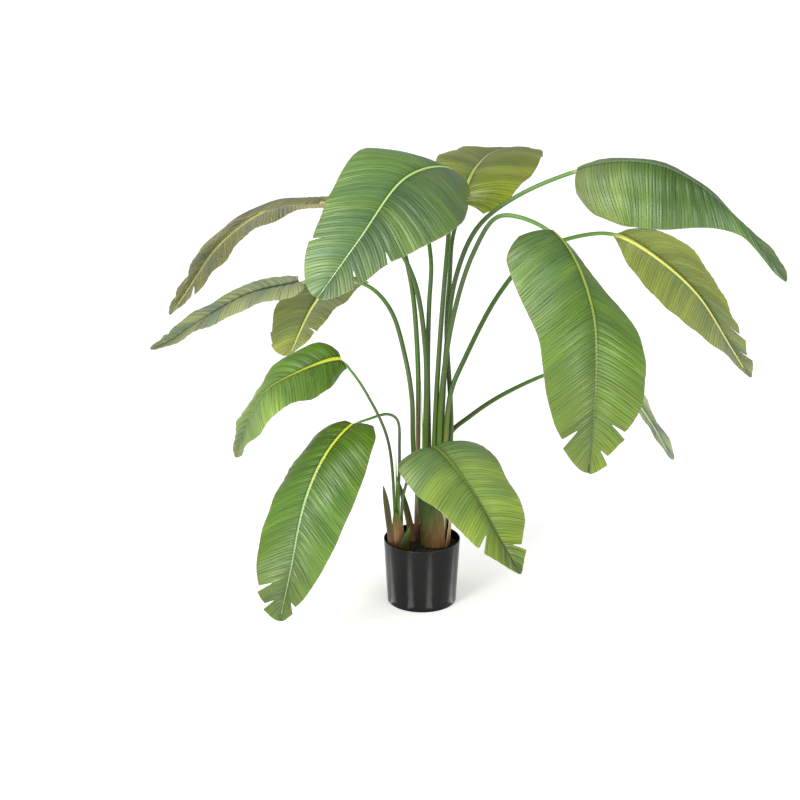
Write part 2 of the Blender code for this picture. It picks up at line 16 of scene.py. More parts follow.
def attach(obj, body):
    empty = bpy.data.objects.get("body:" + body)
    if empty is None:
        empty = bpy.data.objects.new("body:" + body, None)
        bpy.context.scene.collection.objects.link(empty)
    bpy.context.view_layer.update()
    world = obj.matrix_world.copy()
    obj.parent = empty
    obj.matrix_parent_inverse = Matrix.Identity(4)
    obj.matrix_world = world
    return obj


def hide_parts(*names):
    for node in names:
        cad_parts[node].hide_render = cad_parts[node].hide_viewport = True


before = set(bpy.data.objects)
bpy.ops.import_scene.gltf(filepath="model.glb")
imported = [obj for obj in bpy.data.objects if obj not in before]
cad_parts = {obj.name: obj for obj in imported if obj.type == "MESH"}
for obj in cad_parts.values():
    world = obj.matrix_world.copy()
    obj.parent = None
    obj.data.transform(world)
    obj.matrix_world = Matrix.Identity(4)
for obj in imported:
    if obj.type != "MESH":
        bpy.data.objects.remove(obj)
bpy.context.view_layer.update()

# %% [markdown]
# ## Camera
# The plant is seen from a little above, from six and a half metres away, so that the leaves hardly grow
# towards the viewer. A long lens does that. The camera is set first, and the looks are judged through it.

# %% Camera
LOOK_DOWN = 18.15          # degrees below level
lens = bpy.data.cameras.new("camera")
lens.lens = 81.4
lens.sensor_width = 36
camera = bpy.data.objects.new("camera", lens)
camera.location = (-0.085, -6.5, 2.95)
camera.rotation_euler = (math.radians(90 - LOOK_DOWN), 0, 0)
bpy.context.scene.collection.objects.link(camera)
bpy.context.scene.camera = camera
print("camera", lens.lens, "mm at", [round(c, 2) for c in camera.location])

# %% [markdown]
# ## Colours and nodes
# Colours are easy to read as sRGB hex values, and shaders want linear light, so one function turns the one
# into the other. Another fills a node's inputs with links and values, and one more adds a node and fills it
# that way, which keeps each material's recipe short enough to read.


# %% Colour and node helpers
NOISE_SPAN = {"From Min": 0.3, "From Max": 0.7}      # nearly all the values of a noise texture lie in here


def linear(hex_colour):
    """An sRGB hex colour such as 6f9255 as linear red, green, blue and 1."""
    parts = [int(hex_colour[k:k + 2], 16) / 255 for k in (0, 2, 4)]
    return tuple(c / 12.92 if c <= 0.04045 else ((c + 0.055) / 1.055) ** 2.4 for c in parts) + (1.0,)


def connect(tree, node, inputs):
    """Fills a node's inputs. An input is another node's socket, which gets linked, or a value."""
    for socket, value in inputs.items():
        if isinstance(value, bpy.types.NodeSocket):
            tree.links.new(value, node.inputs[socket])
        else:
            node.inputs[socket].default_value = value


def add(tree, kind, inputs=None, **settings):
    """A new node with its settings and its inputs."""
    node = tree.nodes.new(kind)
    for name, value in settings.items():
        setattr(node, name, value)
    connect(tree, node, inputs or {})
    return node


def new_material(name):
    """A material and its tree, with the Principled shader that it starts with."""
    material = bpy.data.materials.new(name)
    material.use_nodes = True
    return material, material.node_tree, material.node_tree.nodes["Principled BSDF"]


def wave_scale(spacing):
    """The Wave Texture's scale that puts its bands this far apart, in metres."""
    radians_per_metre = 20     # what the texture turns through at a scale of 1
    return 2 * math.pi / radians_per_metre / spacing


print("white is", linear("ffffff"), "and leaf green is", [round(c, 3) for c in linear("6f9255")])

# %% [markdown]
# ## Leaf sheets
# Each leaf is polyester cloth, printed green, pressed hot into pleats and sealed with a satin coat. The eye
# reads it from veins and streaks that run out to the edge, a band of another green on the midrib, and a soft
# sheen that the pleats break up. The pattern must follow the veins, so it reads a UV map in metres: x is
# where the vein leaves the midrib, and y is how far along the vein a point lies. Wave textures rule the
# veins, and a little distortion bends them. Ruled lines of one strength look like a comb, so a noise lets
# each vein fade in and out. Noise stretched along y gives the streaks. On top the veins are grooves with a
# painted shade in them, and underneath they are ridges with painted light on them. Bright bands of print
# turn towards a paler green, which is a painted sheen. Each blade stores its own print colours on its
# points, so one material serves all of them.

# %% Patterns of the leaf print
PRESSED = 0.0125           # the pressed veins stand about a finger's width apart
FINE_VEIN = 0.0062         # fine veins between them
STRAIGHTEN = 0.12          # a vein is bent this much more slowly along its run than across it
BAND = 0.055               # width of a soft band of print along the veins
BAND_RUN = 0.40            # length of such a band
STREAK = 0.006             # width of a thin streak
FADE = (0.016, 0.09)       # a pressed vein is strong or faint over a patch this wide and long
FADE_SPAN = {"From Min": 0.34, "From Max": 0.62}     # values of the noise between the faintest and the strongest
FAINTEST = 0.2
GRAIN = 0.0013             # the sanded grain of the coat


def leaf_patterns(tree, crispness):
    """The pressed grooves, fine veins, streaks, bands and grain, each a value from 0 to 1."""
    vein = add(tree, "ShaderNodeUVMap", uv_map="vein").outputs["UV"]
    straight = add(tree, "ShaderNodeMapping", {"Vector": vein, "Scale": (1, STRAIGHTEN, 1)}).outputs[0]
    pressed, fine = (add(tree, "ShaderNodeTexWave", {"Vector": straight, "Scale": wave_scale(spacing),
                                                     "Distortion": 5.0, "Detail": 1.0,
                                                     "Detail Scale": bends}).outputs["Fac"]
                     for spacing, bends in ((PRESSED, 0.9), (FINE_VEIN, 0.6)))
    stretched = []
    for width, length, detail in ((*FADE, 2.0), (BAND, BAND_RUN, 2.0), (STREAK, BAND_RUN, 3.0)):
        place = add(tree, "ShaderNodeMapping", {"Vector": vein, "Scale": (1 / width, 1 / length, 1)}).outputs[0]
        stretched.append(add(tree, "ShaderNodeTexNoise", {"Vector": place, "Scale": 1.0,
                                                          "Detail": detail}).outputs["Fac"])
    fade, band, streak = stretched
    grain = add(tree, "ShaderNodeTexNoise", {"Vector": vein, "Scale": 1 / GRAIN, "Detail": 1.0}).outputs["Fac"]
    sharp = add(tree, "ShaderNodeMath", {0: pressed, 1: crispness}, operation="POWER").outputs[0]
    depth_here = add(tree, "ShaderNodeMapRange", {"Value": fade, **FADE_SPAN, "To Min": FAINTEST,
                                                  "To Max": 1.0}).outputs[0]
    groove = add(tree, "ShaderNodeMath", {0: sharp, 1: depth_here}, operation="MULTIPLY").outputs[0]
    return groove, fine, streak, band, grain


print("pressed veins every", PRESSED * 1000, "mm, fine ones every", FINE_VEIN * 1000, "mm")


# %% Midrib of the leaf print
RIB_EDGE = {"From Min": 0.6, "From Max": 1.0}        # the midrib's colour fades out here, 1 being its band's edge
RIB_SHADOW = {"From Min": 1.0, "From Max": 2.4}      # and here the print beside it gets its light back
SHADOW_LIGHT = 0.5


def midrib_over(tree, colour, rib):
    """Lays the midrib's colour over the print, with a painted shadow on the print right beside it."""
    place = add(tree, "ShaderNodeUVMap", uv_map="rib").outputs["UV"]
    share = add(tree, "ShaderNodeSeparateXYZ", {0: place}).outputs["Y"]
    on_rib = add(tree, "ShaderNodeMapRange", {"Value": share, **RIB_EDGE, "To Min": 1.0, "To Max": 0.0}).outputs[0]
    # the print beside the midrib is darkened as a painted shadow
    painted_shade_by_rib = add(tree, "ShaderNodeMapRange", {"Value": share, **RIB_SHADOW, "To Min": SHADOW_LIGHT,
                                              "To Max": 1.0}).outputs[0]
    colour = add(tree, "ShaderNodeVectorMath", {0: colour, "Scale": painted_shade_by_rib}, operation="SCALE").outputs[0]
    rib_colour = add(tree, "ShaderNodeAttribute", attribute_name=rib).outputs["Color"]
    return add(tree, "ShaderNodeMix", {0: on_rib, 6: colour, 7: rib_colour}, data_type="RGBA").outputs[2]


print("right beside the midrib the print has", SHADOW_LIGHT, "of its light")


# %% Leaf print
UNEVEN_SHINE = 0.05        # how far the coat's roughness goes up and down from streak to streak
WHOLE = {"From Min": 0.0, "From Max": 1.0}


def printed_leaf(name, tint, painted_sheen, painted_sheen_share, roughness, depth, crispness, ground_shade, vein_painted_shading, rib=None):
    """Satin printed polyester. Attributes hold the print's colour. A paler colour in bright bands is a painted sheen.
    A factor darkens the vein grooves on top as painted shade and lightens the raised veins underneath as painted
    light. A negative depth raises the veins.
    """
    material, tree, shader = new_material(name)
    groove, fine, streak, band, grain = leaf_patterns(tree, crispness)
    shade = 1.0
    # the first factor darkens the vein grooves on top as painted shade and lightens the raised veins underneath as
    # painted light
    for pattern, span, low, high in ((groove, WHOLE, ground_shade, vein_painted_shading), (fine, WHOLE, 1.12, 0.80),
                                     (streak, NOISE_SPAN, 0.93, 1.07), (band, NOISE_SPAN, 0.87, 1.13),
                                     (grain, NOISE_SPAN, 0.91, 1.09)):
        part = add(tree, "ShaderNodeMapRange", {"Value": pattern, **span, "To Min": low, "To Max": high}).outputs[0]
        shade = add(tree, "ShaderNodeMath", {0: shade, 1: part}, operation="MULTIPLY").outputs[0]
    ground = add(tree, "ShaderNodeAttribute", attribute_name=tint).outputs["Color"]
    colour = add(tree, "ShaderNodeVectorMath", {0: ground, "Scale": shade}, operation="SCALE").outputs[0]
    # bright bands turn towards a paler colour, a painted sheen
    bright = add(tree, "ShaderNodeMapRange", {"Value": band, "From Min": 0.5, "From Max": 0.72,
                                              "To Min": 0.0, "To Max": painted_sheen_share}).outputs[0]
    colour = add(tree, "ShaderNodeMix", {0: bright, 6: colour, 7: linear(painted_sheen)}, data_type="RGBA").outputs[2]
    if rib:
        colour = midrib_over(tree, colour, rib)
    bumps = {}
    for pattern, distance in ((groove, -depth), (fine, 0.12 * depth), (grain, 0.05 * depth)):
        bumps = {"Normal": add(tree, "ShaderNodeBump", {"Height": pattern, "Distance": distance, "Strength": 1.0,
                                                        **bumps}).outputs[0]}
    shine = add(tree, "ShaderNodeMapRange", {"Value": streak, **NOISE_SPAN, "To Min": roughness + UNEVEN_SHINE,
                                             "To Max": roughness - UNEVEN_SHINE}).outputs[0]
    connect(tree, shader, {"Base Color": colour, "Roughness": shine, **bumps, "IOR": 1.5,
                           "Specular IOR Level": 0.55})
    return material


LEAF_TOP = printed_leaf("satin_printed_polyester_top", "tint", painted_sheen="7c9838", painted_sheen_share=0.12, roughness=0.33,
                        depth=0.0020, crispness=11.0, ground_shade=1.04, vein_painted_shading=0.64, rib="rib_tint")
LEAF_UNDER = printed_leaf("printed_polyester_underside", "tint_under", painted_sheen="a3a83c", painted_sheen_share=0.2, roughness=0.38,
                          depth=-0.0020, crispness=5.0, ground_shade=0.82, vein_painted_shading=1.95)
print("printed finishes:", LEAF_TOP.name, LEAF_UNDER.name)


# %% Cut edge of the sheet
# A hot knife cuts the sheet, so its edge is a thin dry line of tan backing cloth.
LEAF_EDGE, edge_tree, edge_shader = new_material("heat_cut_polyester_edge")
connect(edge_tree, edge_shader, {"Base Color": linear("9c8f6c"), "Roughness": 0.7})
print("edge finish:", LEAF_EDGE.name)

# %% [markdown]
# ## Stems, leaf bases and pot
# The stems are moulded polyethylene over wire. Fine lengthwise draw lines carry a darker print. The leaf
# bases and bracts are pressed cloth made to look like dry fibre, with lots of contrast between strands.
# Both read a UV map called run, in metres around and along the piece. Where a strand is thin, a deep brown
# is painted in as the shade between strands. The wraps end in a pale papery edge, as a cut through dry fibre does.


# %% Moulded and fibrous finishes
def streaked(name, strand, strand_run, dark, light, roughness, relief, deep="20180f", painted_gap_shade_share=0.0):
    """A finish of lengthwise strands over the piece's own tint, with a deep brown painted between them as shade."""
    material, tree, shader = new_material(name)
    run = add(tree, "ShaderNodeUVMap", uv_map="run").outputs["UV"]
    place = add(tree, "ShaderNodeMapping", {"Vector": run, "Scale": (1 / strand, 1 / strand_run, 1)}).outputs[0]
    line = add(tree, "ShaderNodeTexNoise", {"Vector": place, "Scale": 1.0, "Detail": 5.0,
                                            "Roughness": 0.6}).outputs["Fac"]
    place = add(tree, "ShaderNodeMapping", {"Vector": run, "Scale": (0.2 / strand, 0.6 / strand_run, 1)}).outputs[0]
    band = add(tree, "ShaderNodeTexNoise", {"Vector": place, "Scale": 1.0, "Detail": 2.0}).outputs["Fac"]
    line_shade, band_shade = (add(tree, "ShaderNodeMapRange", {"Value": pattern, **NOISE_SPAN, "To Min": low,
                                                               "To Max": high}).outputs[0]
                              for pattern, low, high in ((line, dark, light), (band, 0.85, 1.15)))
    shade = add(tree, "ShaderNodeMath", {0: line_shade, 1: band_shade}, operation="MULTIPLY").outputs[0]
    ground = add(tree, "ShaderNodeAttribute", attribute_name="tint").outputs["Color"]
    colour = add(tree, "ShaderNodeVectorMath", {0: ground, "Scale": shade}, operation="SCALE").outputs[0]
    # between the strands the colour turns towards a deep brown, a painted shade in the gaps
    painted_gap_shade = add(tree, "ShaderNodeMapRange", {"Value": line, "From Min": 0.42, "From Max": 0.3,
                                            "To Min": 0.0, "To Max": painted_gap_shade_share}).outputs[0]
    colour = add(tree, "ShaderNodeMix", {0: painted_gap_shade, 6: colour, 7: linear(deep)}, data_type="RGBA").outputs[2]
    bump = add(tree, "ShaderNodeBump", {"Height": line, "Distance": relief, "Strength": 1.0}).outputs[0]
    connect(tree, shader, {"Base Color": colour, "Normal": bump, "Roughness": roughness, "IOR": 1.5,
                           "Specular IOR Level": 0.35})
    return material


STEM = streaked("moulded_polyethylene_stem", strand=0.0022, strand_run=0.16, dark=0.74, light=1.2, roughness=0.34,
                relief=0.0005)
FIBRE = streaked("pressed_fibre_leaf_base", strand=0.0026, strand_run=0.07, dark=0.55, light=1.4, roughness=0.68,
                 relief=0.0014, painted_gap_shade_share=0.7)
BRACT_SKIN = streaked("pressed_fibre_bract", strand=0.0022, strand_run=0.09, dark=0.72, light=1.24, roughness=0.6,
                      relief=0.0009, painted_gap_shade_share=0.3)

PAPER_EDGE, paper_tree, paper_shader = new_material("papery_torn_fibre_edge")
connect(paper_tree, paper_shader, {"Base Color": linear("dccfba"), "Roughness": 0.8})
print("stem finishes:", STEM.name, FIBRE.name, BRACT_SKIN.name, PAPER_EDGE.name)


# %% Pot and soil finishes
FLOW = 0.04                # size of the cloudy marks that the melt leaves
MOULD_GRAIN = 0.0016       # grain of the pot's skin
CRUMB = 0.004              # size of a crumb of foam


def pot_plastic(name, mirror):
    """Injection moulded polypropylene: black, half shiny, with a faint unevenness that softens reflections."""
    material, tree, shader = new_material(name)
    place = add(tree, "ShaderNodeTexCoord").outputs["Object"]
    flow = add(tree, "ShaderNodeTexNoise", {"Vector": place, "Scale": 1 / FLOW, "Detail": 3.0}).outputs["Fac"]
    grain = add(tree, "ShaderNodeTexNoise", {"Vector": place, "Scale": 1 / MOULD_GRAIN,
                                             "Detail": 2.0}).outputs["Fac"]
    colour = add(tree, "ShaderNodeMix", {0: flow, 6: linear("0c0c0d"), 7: linear("141312")},
                 data_type="RGBA").outputs[2]
    shine = add(tree, "ShaderNodeMapRange", {"Value": flow, **NOISE_SPAN, "To Min": 0.2, "To Max": 0.27}).outputs[0]
    bump = add(tree, "ShaderNodeBump", {"Height": grain, "Distance": 0.00005, "Strength": 0.6}).outputs[0]
    connect(tree, shader, {"Base Color": colour, "Roughness": shine, "Normal": bump, "IOR": 1.49,
                           "Specular IOR Level": mirror})
    return material


def peat(name, low, high):
    """Dyed foam crumb that stands for peat: nearly black, dry and rough, with a little brown in it."""
    material, tree, shader = new_material(name)
    place = add(tree, "ShaderNodeTexCoord").outputs["Object"]
    crumb = add(tree, "ShaderNodeTexNoise", {"Vector": place, "Scale": 1 / CRUMB, "Detail": 4.0}).outputs["Fac"]
    colour = add(tree, "ShaderNodeMix", {0: crumb, 6: linear(low), 7: linear(high)}, data_type="RGBA").outputs[2]
    bump = add(tree, "ShaderNodeBump", {"Height": crumb, "Distance": 0.002, "Strength": 1.0}).outputs[0]
    connect(tree, shader, {"Base Color": colour, "Normal": bump, "Roughness": 0.92})
    return material


POT_PLASTIC = pot_plastic("moulded_black_polypropylene", mirror=0.17)
POT_LIP = pot_plastic("rubbed_black_polypropylene_lip", mirror=1.0)        # handling polishes the lip, which glints
PEAT = peat("dyed_foam_peat", "181614", "38332f")
GRIT = peat("pale_grit_in_peat", "8f8a80", "cdc8bd")
print("pot finishes:", POT_PLASTIC.name, POT_LIP.name, PEAT.name, GRIT.name)

# %% [markdown]
# ## The leaf law
# All thirteen leaves obey one law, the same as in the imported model. A smooth curve runs up the stem and on
# along the midrib. Veins leave the midrib, sweep towards the tip and end on the edge. The table below is the
# whole plant: change a number and the leaf bends. Heading says which way a blade lies, seen from above, in
# degrees from the x axis. Left and right are the tilts of its two halves in degrees, trims are factors on
# their widths, and curls are how much they bulge, each at evenly spaced places from base to tip. A tear has
# its side, its place along the midrib, the share of the half width where it starts, and how wide it opens.

# %% Sizes and the table of leaves
SIDES = ("left", "right")
GAP = 0.0003               # neighbours stay this far apart
SOIL_TOP = 0.228
PLANTED = 0.024            # a stem goes this deep into the soil
FOOT_Z = SOIL_TOP - PLANTED + GAP
ON_SOIL = SOIL_TOP + 2 * GAP
SHEET = 0.002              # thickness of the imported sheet
RIB_SHARE = 0.94           # how far along the blade the veins leave the midrib
LOBE = 0.02                # how far the edge reaches back past the blade's base
SHAPE = (0.8, 0.55)        # below 1 the first puts the widest place nearer the base, the second makes it fuller
BASE_WIDTH = 0.12          # how far into the outline's curve the base lies: 0 would make it a point
SHOULDER = 0.10            # share of the blade over which its base rounds off
SHOULDER_CUT = 0.35        # and how much of its width that takes
CURL = (0.12, 0.10, 0.08, 0.06)              # a half's bulge from base to tip, as a share of its width
VEIN_SWEEP = 0.72          # below 1 the veins lean towards the tip
VEIN_BEND = 1.25           # above 1 a vein turns towards the tip more and more on its way out
CALM = 0.15                # share of the blade over which its frame levels out
MAIN_STEM = (0.0098, 0.0074, 0.0020)        # radius at the foot, at the blade and at the tip
SIDE_STEM = (0.0060, 0.0049, 0.0015)
STEM_TAPER = 3             # a stem keeps its thickness and narrows only near the blade
PATH_STEPS = 24            # steps of the curve from one given point to the next

LEAVES = {
    "leaf_01": dict(
        stem=[(0.039, -0.010, FOOT_Z), (0.047, -0.007, 0.70), (0.064, -0.005, 1.05), (0.086, 0.0, 1.36),
              (0.105, 0.030, 1.55)],
        rib=[(0.130, 0.012, 1.658), (0.075, -0.034, 1.705), (-0.065, -0.180, 1.695), (-0.225, -0.400, 1.525),
             (-0.365, -0.530, 1.355)],
        heading=220, width=(0.235, 0.235), shape=(0.9, 0.5), calm=0.3,
        left=(-62, -42, -30, -25, -25), right=(-12, 25, 30, 28, 28),
        trim_left=(0.5, 0.93, 1.19, 0.79, 0.78), trim_right=(1.04, 0.95, 0.85, 0.89, 1.06),
        curl_left=(0.2, 0.14, 0.08, 0.06),
        tears=[("right", 0.74, 0.75, 0.02), ("left", 0.66, 0.75, 0.02), ("left", 0.84, 0.5, 0.02)]),
    "leaf_02": dict(
        stem=[(0.078, 0.014, FOOT_Z), (0.110, 0.022, 0.69), (0.090, 0.034, 1.09), (0.100, 0.045, 1.28),
              (0.110, 0.060, 1.43)],
        rib=[(0.145, 0.100, 1.545), (0.175, 0.180, 1.62), (0.250, 0.460, 1.655), (0.360, 0.850, 1.625)],
        heading=75, width=(0.19, 0.21), shape=(0.95, 0.5),
        left=(-10, -4, 0, 0, 0), right=(-10, -8, 1, 1, 0),
        trim_left=(0.85, 0.9, 0.97, 0.98, 0.98), trim_right=(1, 1.03, 1.04, 1.1, 1.3), tears=[]),
    "leaf_03": dict(
        stem=[(0.056, 0.003, FOOT_Z), (0.070, 0.010, 0.60), (0.088, 0.008, 1.01), (0.120, 0.0, 1.29),
              (0.198, -0.025, 1.490), (0.332, -0.075, 1.614)],
        rib=[(0.550, -0.150, 1.725), (0.690, -0.230, 1.765), (0.825, -0.300, 1.761), (0.960, -0.360, 1.696),
             (1.095, -0.400, 1.575), (1.245, -0.440, 1.39)],
        heading=-20, width=(0.24, 0.24), lobe=-0.005,
        left=(-15, -22, -18, -12, 20), right=(-60, -70, -62, -60, -60),
        trim_left=(1, 1, 0.88, 0.34, 0.72), trim_right=(0.88, 0.98, 0.86, 0.2, 0.2),
        curl_right=(0.18, 0.18, 0.15, 0.1), tears=[]),
    "leaf_04": dict(
        stem=[(0.078, -0.014, FOOT_Z), (0.090, -0.010, 0.70), (0.110, 0.0, 0.86), (0.156, 0.020, 0.97),
              (0.288, 0.090, 1.21), (0.430, 0.170, 1.35), (0.640, 0.260, 1.40)],
        rib=[(0.750, 0.280, 1.39), (0.930, 0.370, 1.27), (1.105, 0.450, 1.10), (1.240, 0.480, 0.895),
             (1.330, 0.480, 0.755)],
        heading=15, width=(0.17, 0.17), lobe=-0.01,
        left=(-35, -33, -45, -30, -15), right=(30, 31, 20, 17, 35),
        trim_left=(0.5, 1, 1.06, 1.06, 0.55), trim_right=(1.25, 1.03, 0.88, 0.95, 0.55),
        curl_right=(0.12, 0.10, 0.0, -0.05), tears=[("right", 0.70, 0.3, 0.04), ("right", 0.87, 0.2, 0.03)]),
    "leaf_05": dict(
        stem=[(0.058, -0.022, FOOT_Z), (0.064, -0.022, 0.60), (0.070, -0.020, 0.83), (0.110, -0.050, 1.15),
              (0.180, -0.100, 1.41), (0.260, -0.150, 1.555), (0.340, -0.190, 1.565)],
        rib=[(0.450, -0.240, 1.52), (0.525, -0.350, 1.44), (0.580, -0.470, 1.28), (0.590, -0.530, 1.085),
             (0.577, -0.540, 0.728)],
        heading=-60, width=(0.21, 0.22), lobe=0.006,
        left=(-60, -40, 0, 12, 22), right=(-8, -28, -20, -14, -8),
        trim_left=(1, 0.8, 0.97, 1.18, 0.94), trim_right=(1.27, 1.07, 0.96, 1.04, 1.03),
        tears=[("right", 0.83, 0.5, 0.03), ("left", 0.81, 0.5, 0.025), ("left", 0.93, 0.5, 0.03)]),
    "leaf_06": dict(
        stem=[(0.059, 0.029, FOOT_Z), (0.090, 0.042, 0.58), (0.110, 0.052, 0.67), (0.180, 0.105, 0.715),
              (0.300, 0.210, 0.763), (0.480, 0.350, 0.805)],
        rib=[(0.560, 0.385, 0.82), (0.635, 0.420, 0.815), (0.765, 0.490, 0.78), (0.950, 0.600, 0.535),
             (1.055, 0.620, 0.35)],
        heading=25, width=(0.14, 0.14),
        left=(-10, -10, -15, -20, -20), right=(10, 10, 15, 15, 15),
        trim_left=(1, 0.85, 0.5, 0.34, 0.7), trim_right=(1, 0.85, 0.5, 0.34, 0.8), tears=[]),
    "leaf_07": dict(
        stem=[(-0.022, 0.047, FOOT_Z), (-0.016, 0.038, 0.60), (-0.020, 0.030, 1.01), (-0.050, 0.040, 1.30),
              (-0.110, 0.060, 1.48), (-0.210, 0.080, 1.55)],
        rib=[(-0.355, 0.120, 1.557), (-0.575, 0.260, 1.503), (-0.776, 0.310, 1.353), (-0.920, 0.320, 1.153),
             (-0.980, 0.310, 1.065)],
        heading=165, width=(0.16, 0.16),
        left=(0, 3, 7, 7, 7), right=(-20, -22, -20, -18, -17), trim_right=(1, 1.25, 1, 1, 1),
        tears=[("left", 0.78, 0.5, 0.012), ("left", 0.90, 0.5, 0.012), ("right", 0.85, 0.5, 0.012)]),
    "leaf_08": dict(
        stem=[(0.018, -0.014, FOOT_Z), (0.010, -0.006, 0.60), (0.010, 0.0, 1.02), (-0.040, 0.020, 1.30),
              (-0.110, 0.030, 1.40), (-0.350, 0.050, 1.31)],
        rib=[(-0.460, 0.060, 1.256), (-0.645, 0.020, 1.221), (-0.825, -0.040, 1.136), (-0.937, -0.070, 1.067),
             (-1.008, -0.080, 1.040)],
        heading=190, width=(0.13, 0.14),
        left=(-10, -8, -4, 0, 2), right=(0, 0, -1, 8, 12), tears=[("right", 0.85, 0.5, 0.012)]),
    "leaf_09": dict(
        stem=[(0.013, 0.012, FOOT_Z), (-0.033, 0.002, 0.60), (-0.040, 0.010, 0.82), (-0.064, 0.040, 0.97),
              (-0.116, 0.160, 1.118), (-0.200, 0.300, 1.180)],
        rib=[(-0.270, 0.340, 1.195), (-0.338, 0.380, 1.185), (-0.431, 0.480, 1.060), (-0.540, 0.600, 0.81)],
        heading=130, width=(0.16, 0.16), shape=(0.9, 0.5),
        left=(5, 13, 15, 11, 8), right=(-18, -11, -5, 2, 5),
        trim_left=(0.9, 0.9, 0.95, 1.05, 1.25), trim_right=(1, 1, 1, 1, 0.8),
        tears=[("left", 0.68, 0.5, 0.012), ("left", 0.82, 0.5, 0.012), ("right", 0.75, 0.5, 0.012)]),
    "leaf_10": dict(
        stem=[(-0.104, -0.048, FOOT_Z), (-0.107, -0.050, 0.43), (-0.132, -0.050, 0.68), (-0.203, -0.080, 0.858),
              (-0.262, -0.090, 0.956)],
        rib=[(-0.305, -0.110, 1.005), (-0.450, -0.190, 0.985), (-0.575, -0.270, 0.93), (-0.650, -0.300, 0.785),
             (-0.680, -0.310, 0.70)],
        heading=200, width=(0.13, 0.13), stem_radii=SIDE_STEM,
        left=(-75, -30, -22, -8, 0), right=(32, 14, -12, 3, 15),
        trim_left=(0.55, 0.98, 1.17, 1.16, 0.95), trim_right=(0.85, 1, 1, 0.92, 0.88),
        curl_left=(0.17, 0.12, 0.08, 0.06),
        tears=[("right", 0.72, 0.5, 0.02)]),
    "leaf_11": dict(
        stem=[(-0.090, -0.058, FOOT_Z), (-0.091, -0.053, 0.43), (-0.087, -0.060, 0.64), (-0.094, -0.090, 0.768),
              (-0.130, -0.130, 0.806), (-0.200, -0.200, 0.811)],
        rib=[(-0.255, -0.240, 0.80), (-0.350, -0.370, 0.73), (-0.420, -0.460, 0.595), (-0.480, -0.500, 0.32),
             (-0.520, -0.500, 0.14)],
        heading=240, width=(0.17, 0.17), stem_radii=SIDE_STEM,
        left=(0, -12, -17, -7, -5), right=(-12, -25, -13, 13, 25),
        trim_left=(0.93, 1.02, 1, 0.92, 0.72), trim_right=(0.87, 0.95, 0.95, 1.13, 1.35),
        tears=[("right", 0.84, 0.5, 0.02), ("right", 0.93, 0.5, 0.02), ("left", 0.90, 0.6, 0.025)]),
    "leaf_12": dict(
        stem=[(-0.077, -0.045, FOOT_Z), (-0.076, -0.055, 0.43), (-0.060, -0.070, 0.51), (-0.030, -0.110, 0.60)],
        rib=[(0.035, -0.200, 0.695), (0.160, -0.390, 0.615), (0.275, -0.510, 0.45), (0.345, -0.540, 0.34)],
        heading=-50, width=(0.19, 0.18), stem_radii=SIDE_STEM,
        left=(0, 5, 4, 1, 0), right=(-15, -25, -4, 2, 0),
        trim_left=(1.03, 0.97, 0.93, 1.06, 0.6), trim_right=(1.2, 1.02, 0.97, 0.86, 0.4),
        tears=[("right", 0.70, 0.5, 0.025), ("left", 0.85, 0.4, 0.025)]),
    "leaf_13": dict(
        stem=[(0.032, 0.019, FOOT_Z), (0.026, 0.024, 0.60), (0.020, 0.030, 0.97), (0.024, 0.036, 1.18),
              (0.030, 0.050, 1.35)],
        rib=[(0.0, 0.130, 1.49), (-0.070, 0.310, 1.51), (-0.170, 0.560, 1.38), (-0.210, 0.650, 1.26)],
        heading=112, width=(0.13, 0.13),
        left=(5, 0, -5, -5, 0), right=(5, 0, -5, -5, 0), tears=[("left", 0.70, 0.5, 0.02)]),
}

print(len(LEAVES), "leaves in the table")

# %% [markdown]
# Each leaf has its own print, and the table below holds what differs from the plain one. Colours run from the
# base to the tip on top, and others on the underside. The midrib has a pair of colours, base and tip, for its
# band on top and another pair for its round back. The stem's colours run from foot to neck. Two factors
# brighten or darken the left and the right half, a painted light and shade for how the light falls on each
# half, and wave says how much the edge ripples.

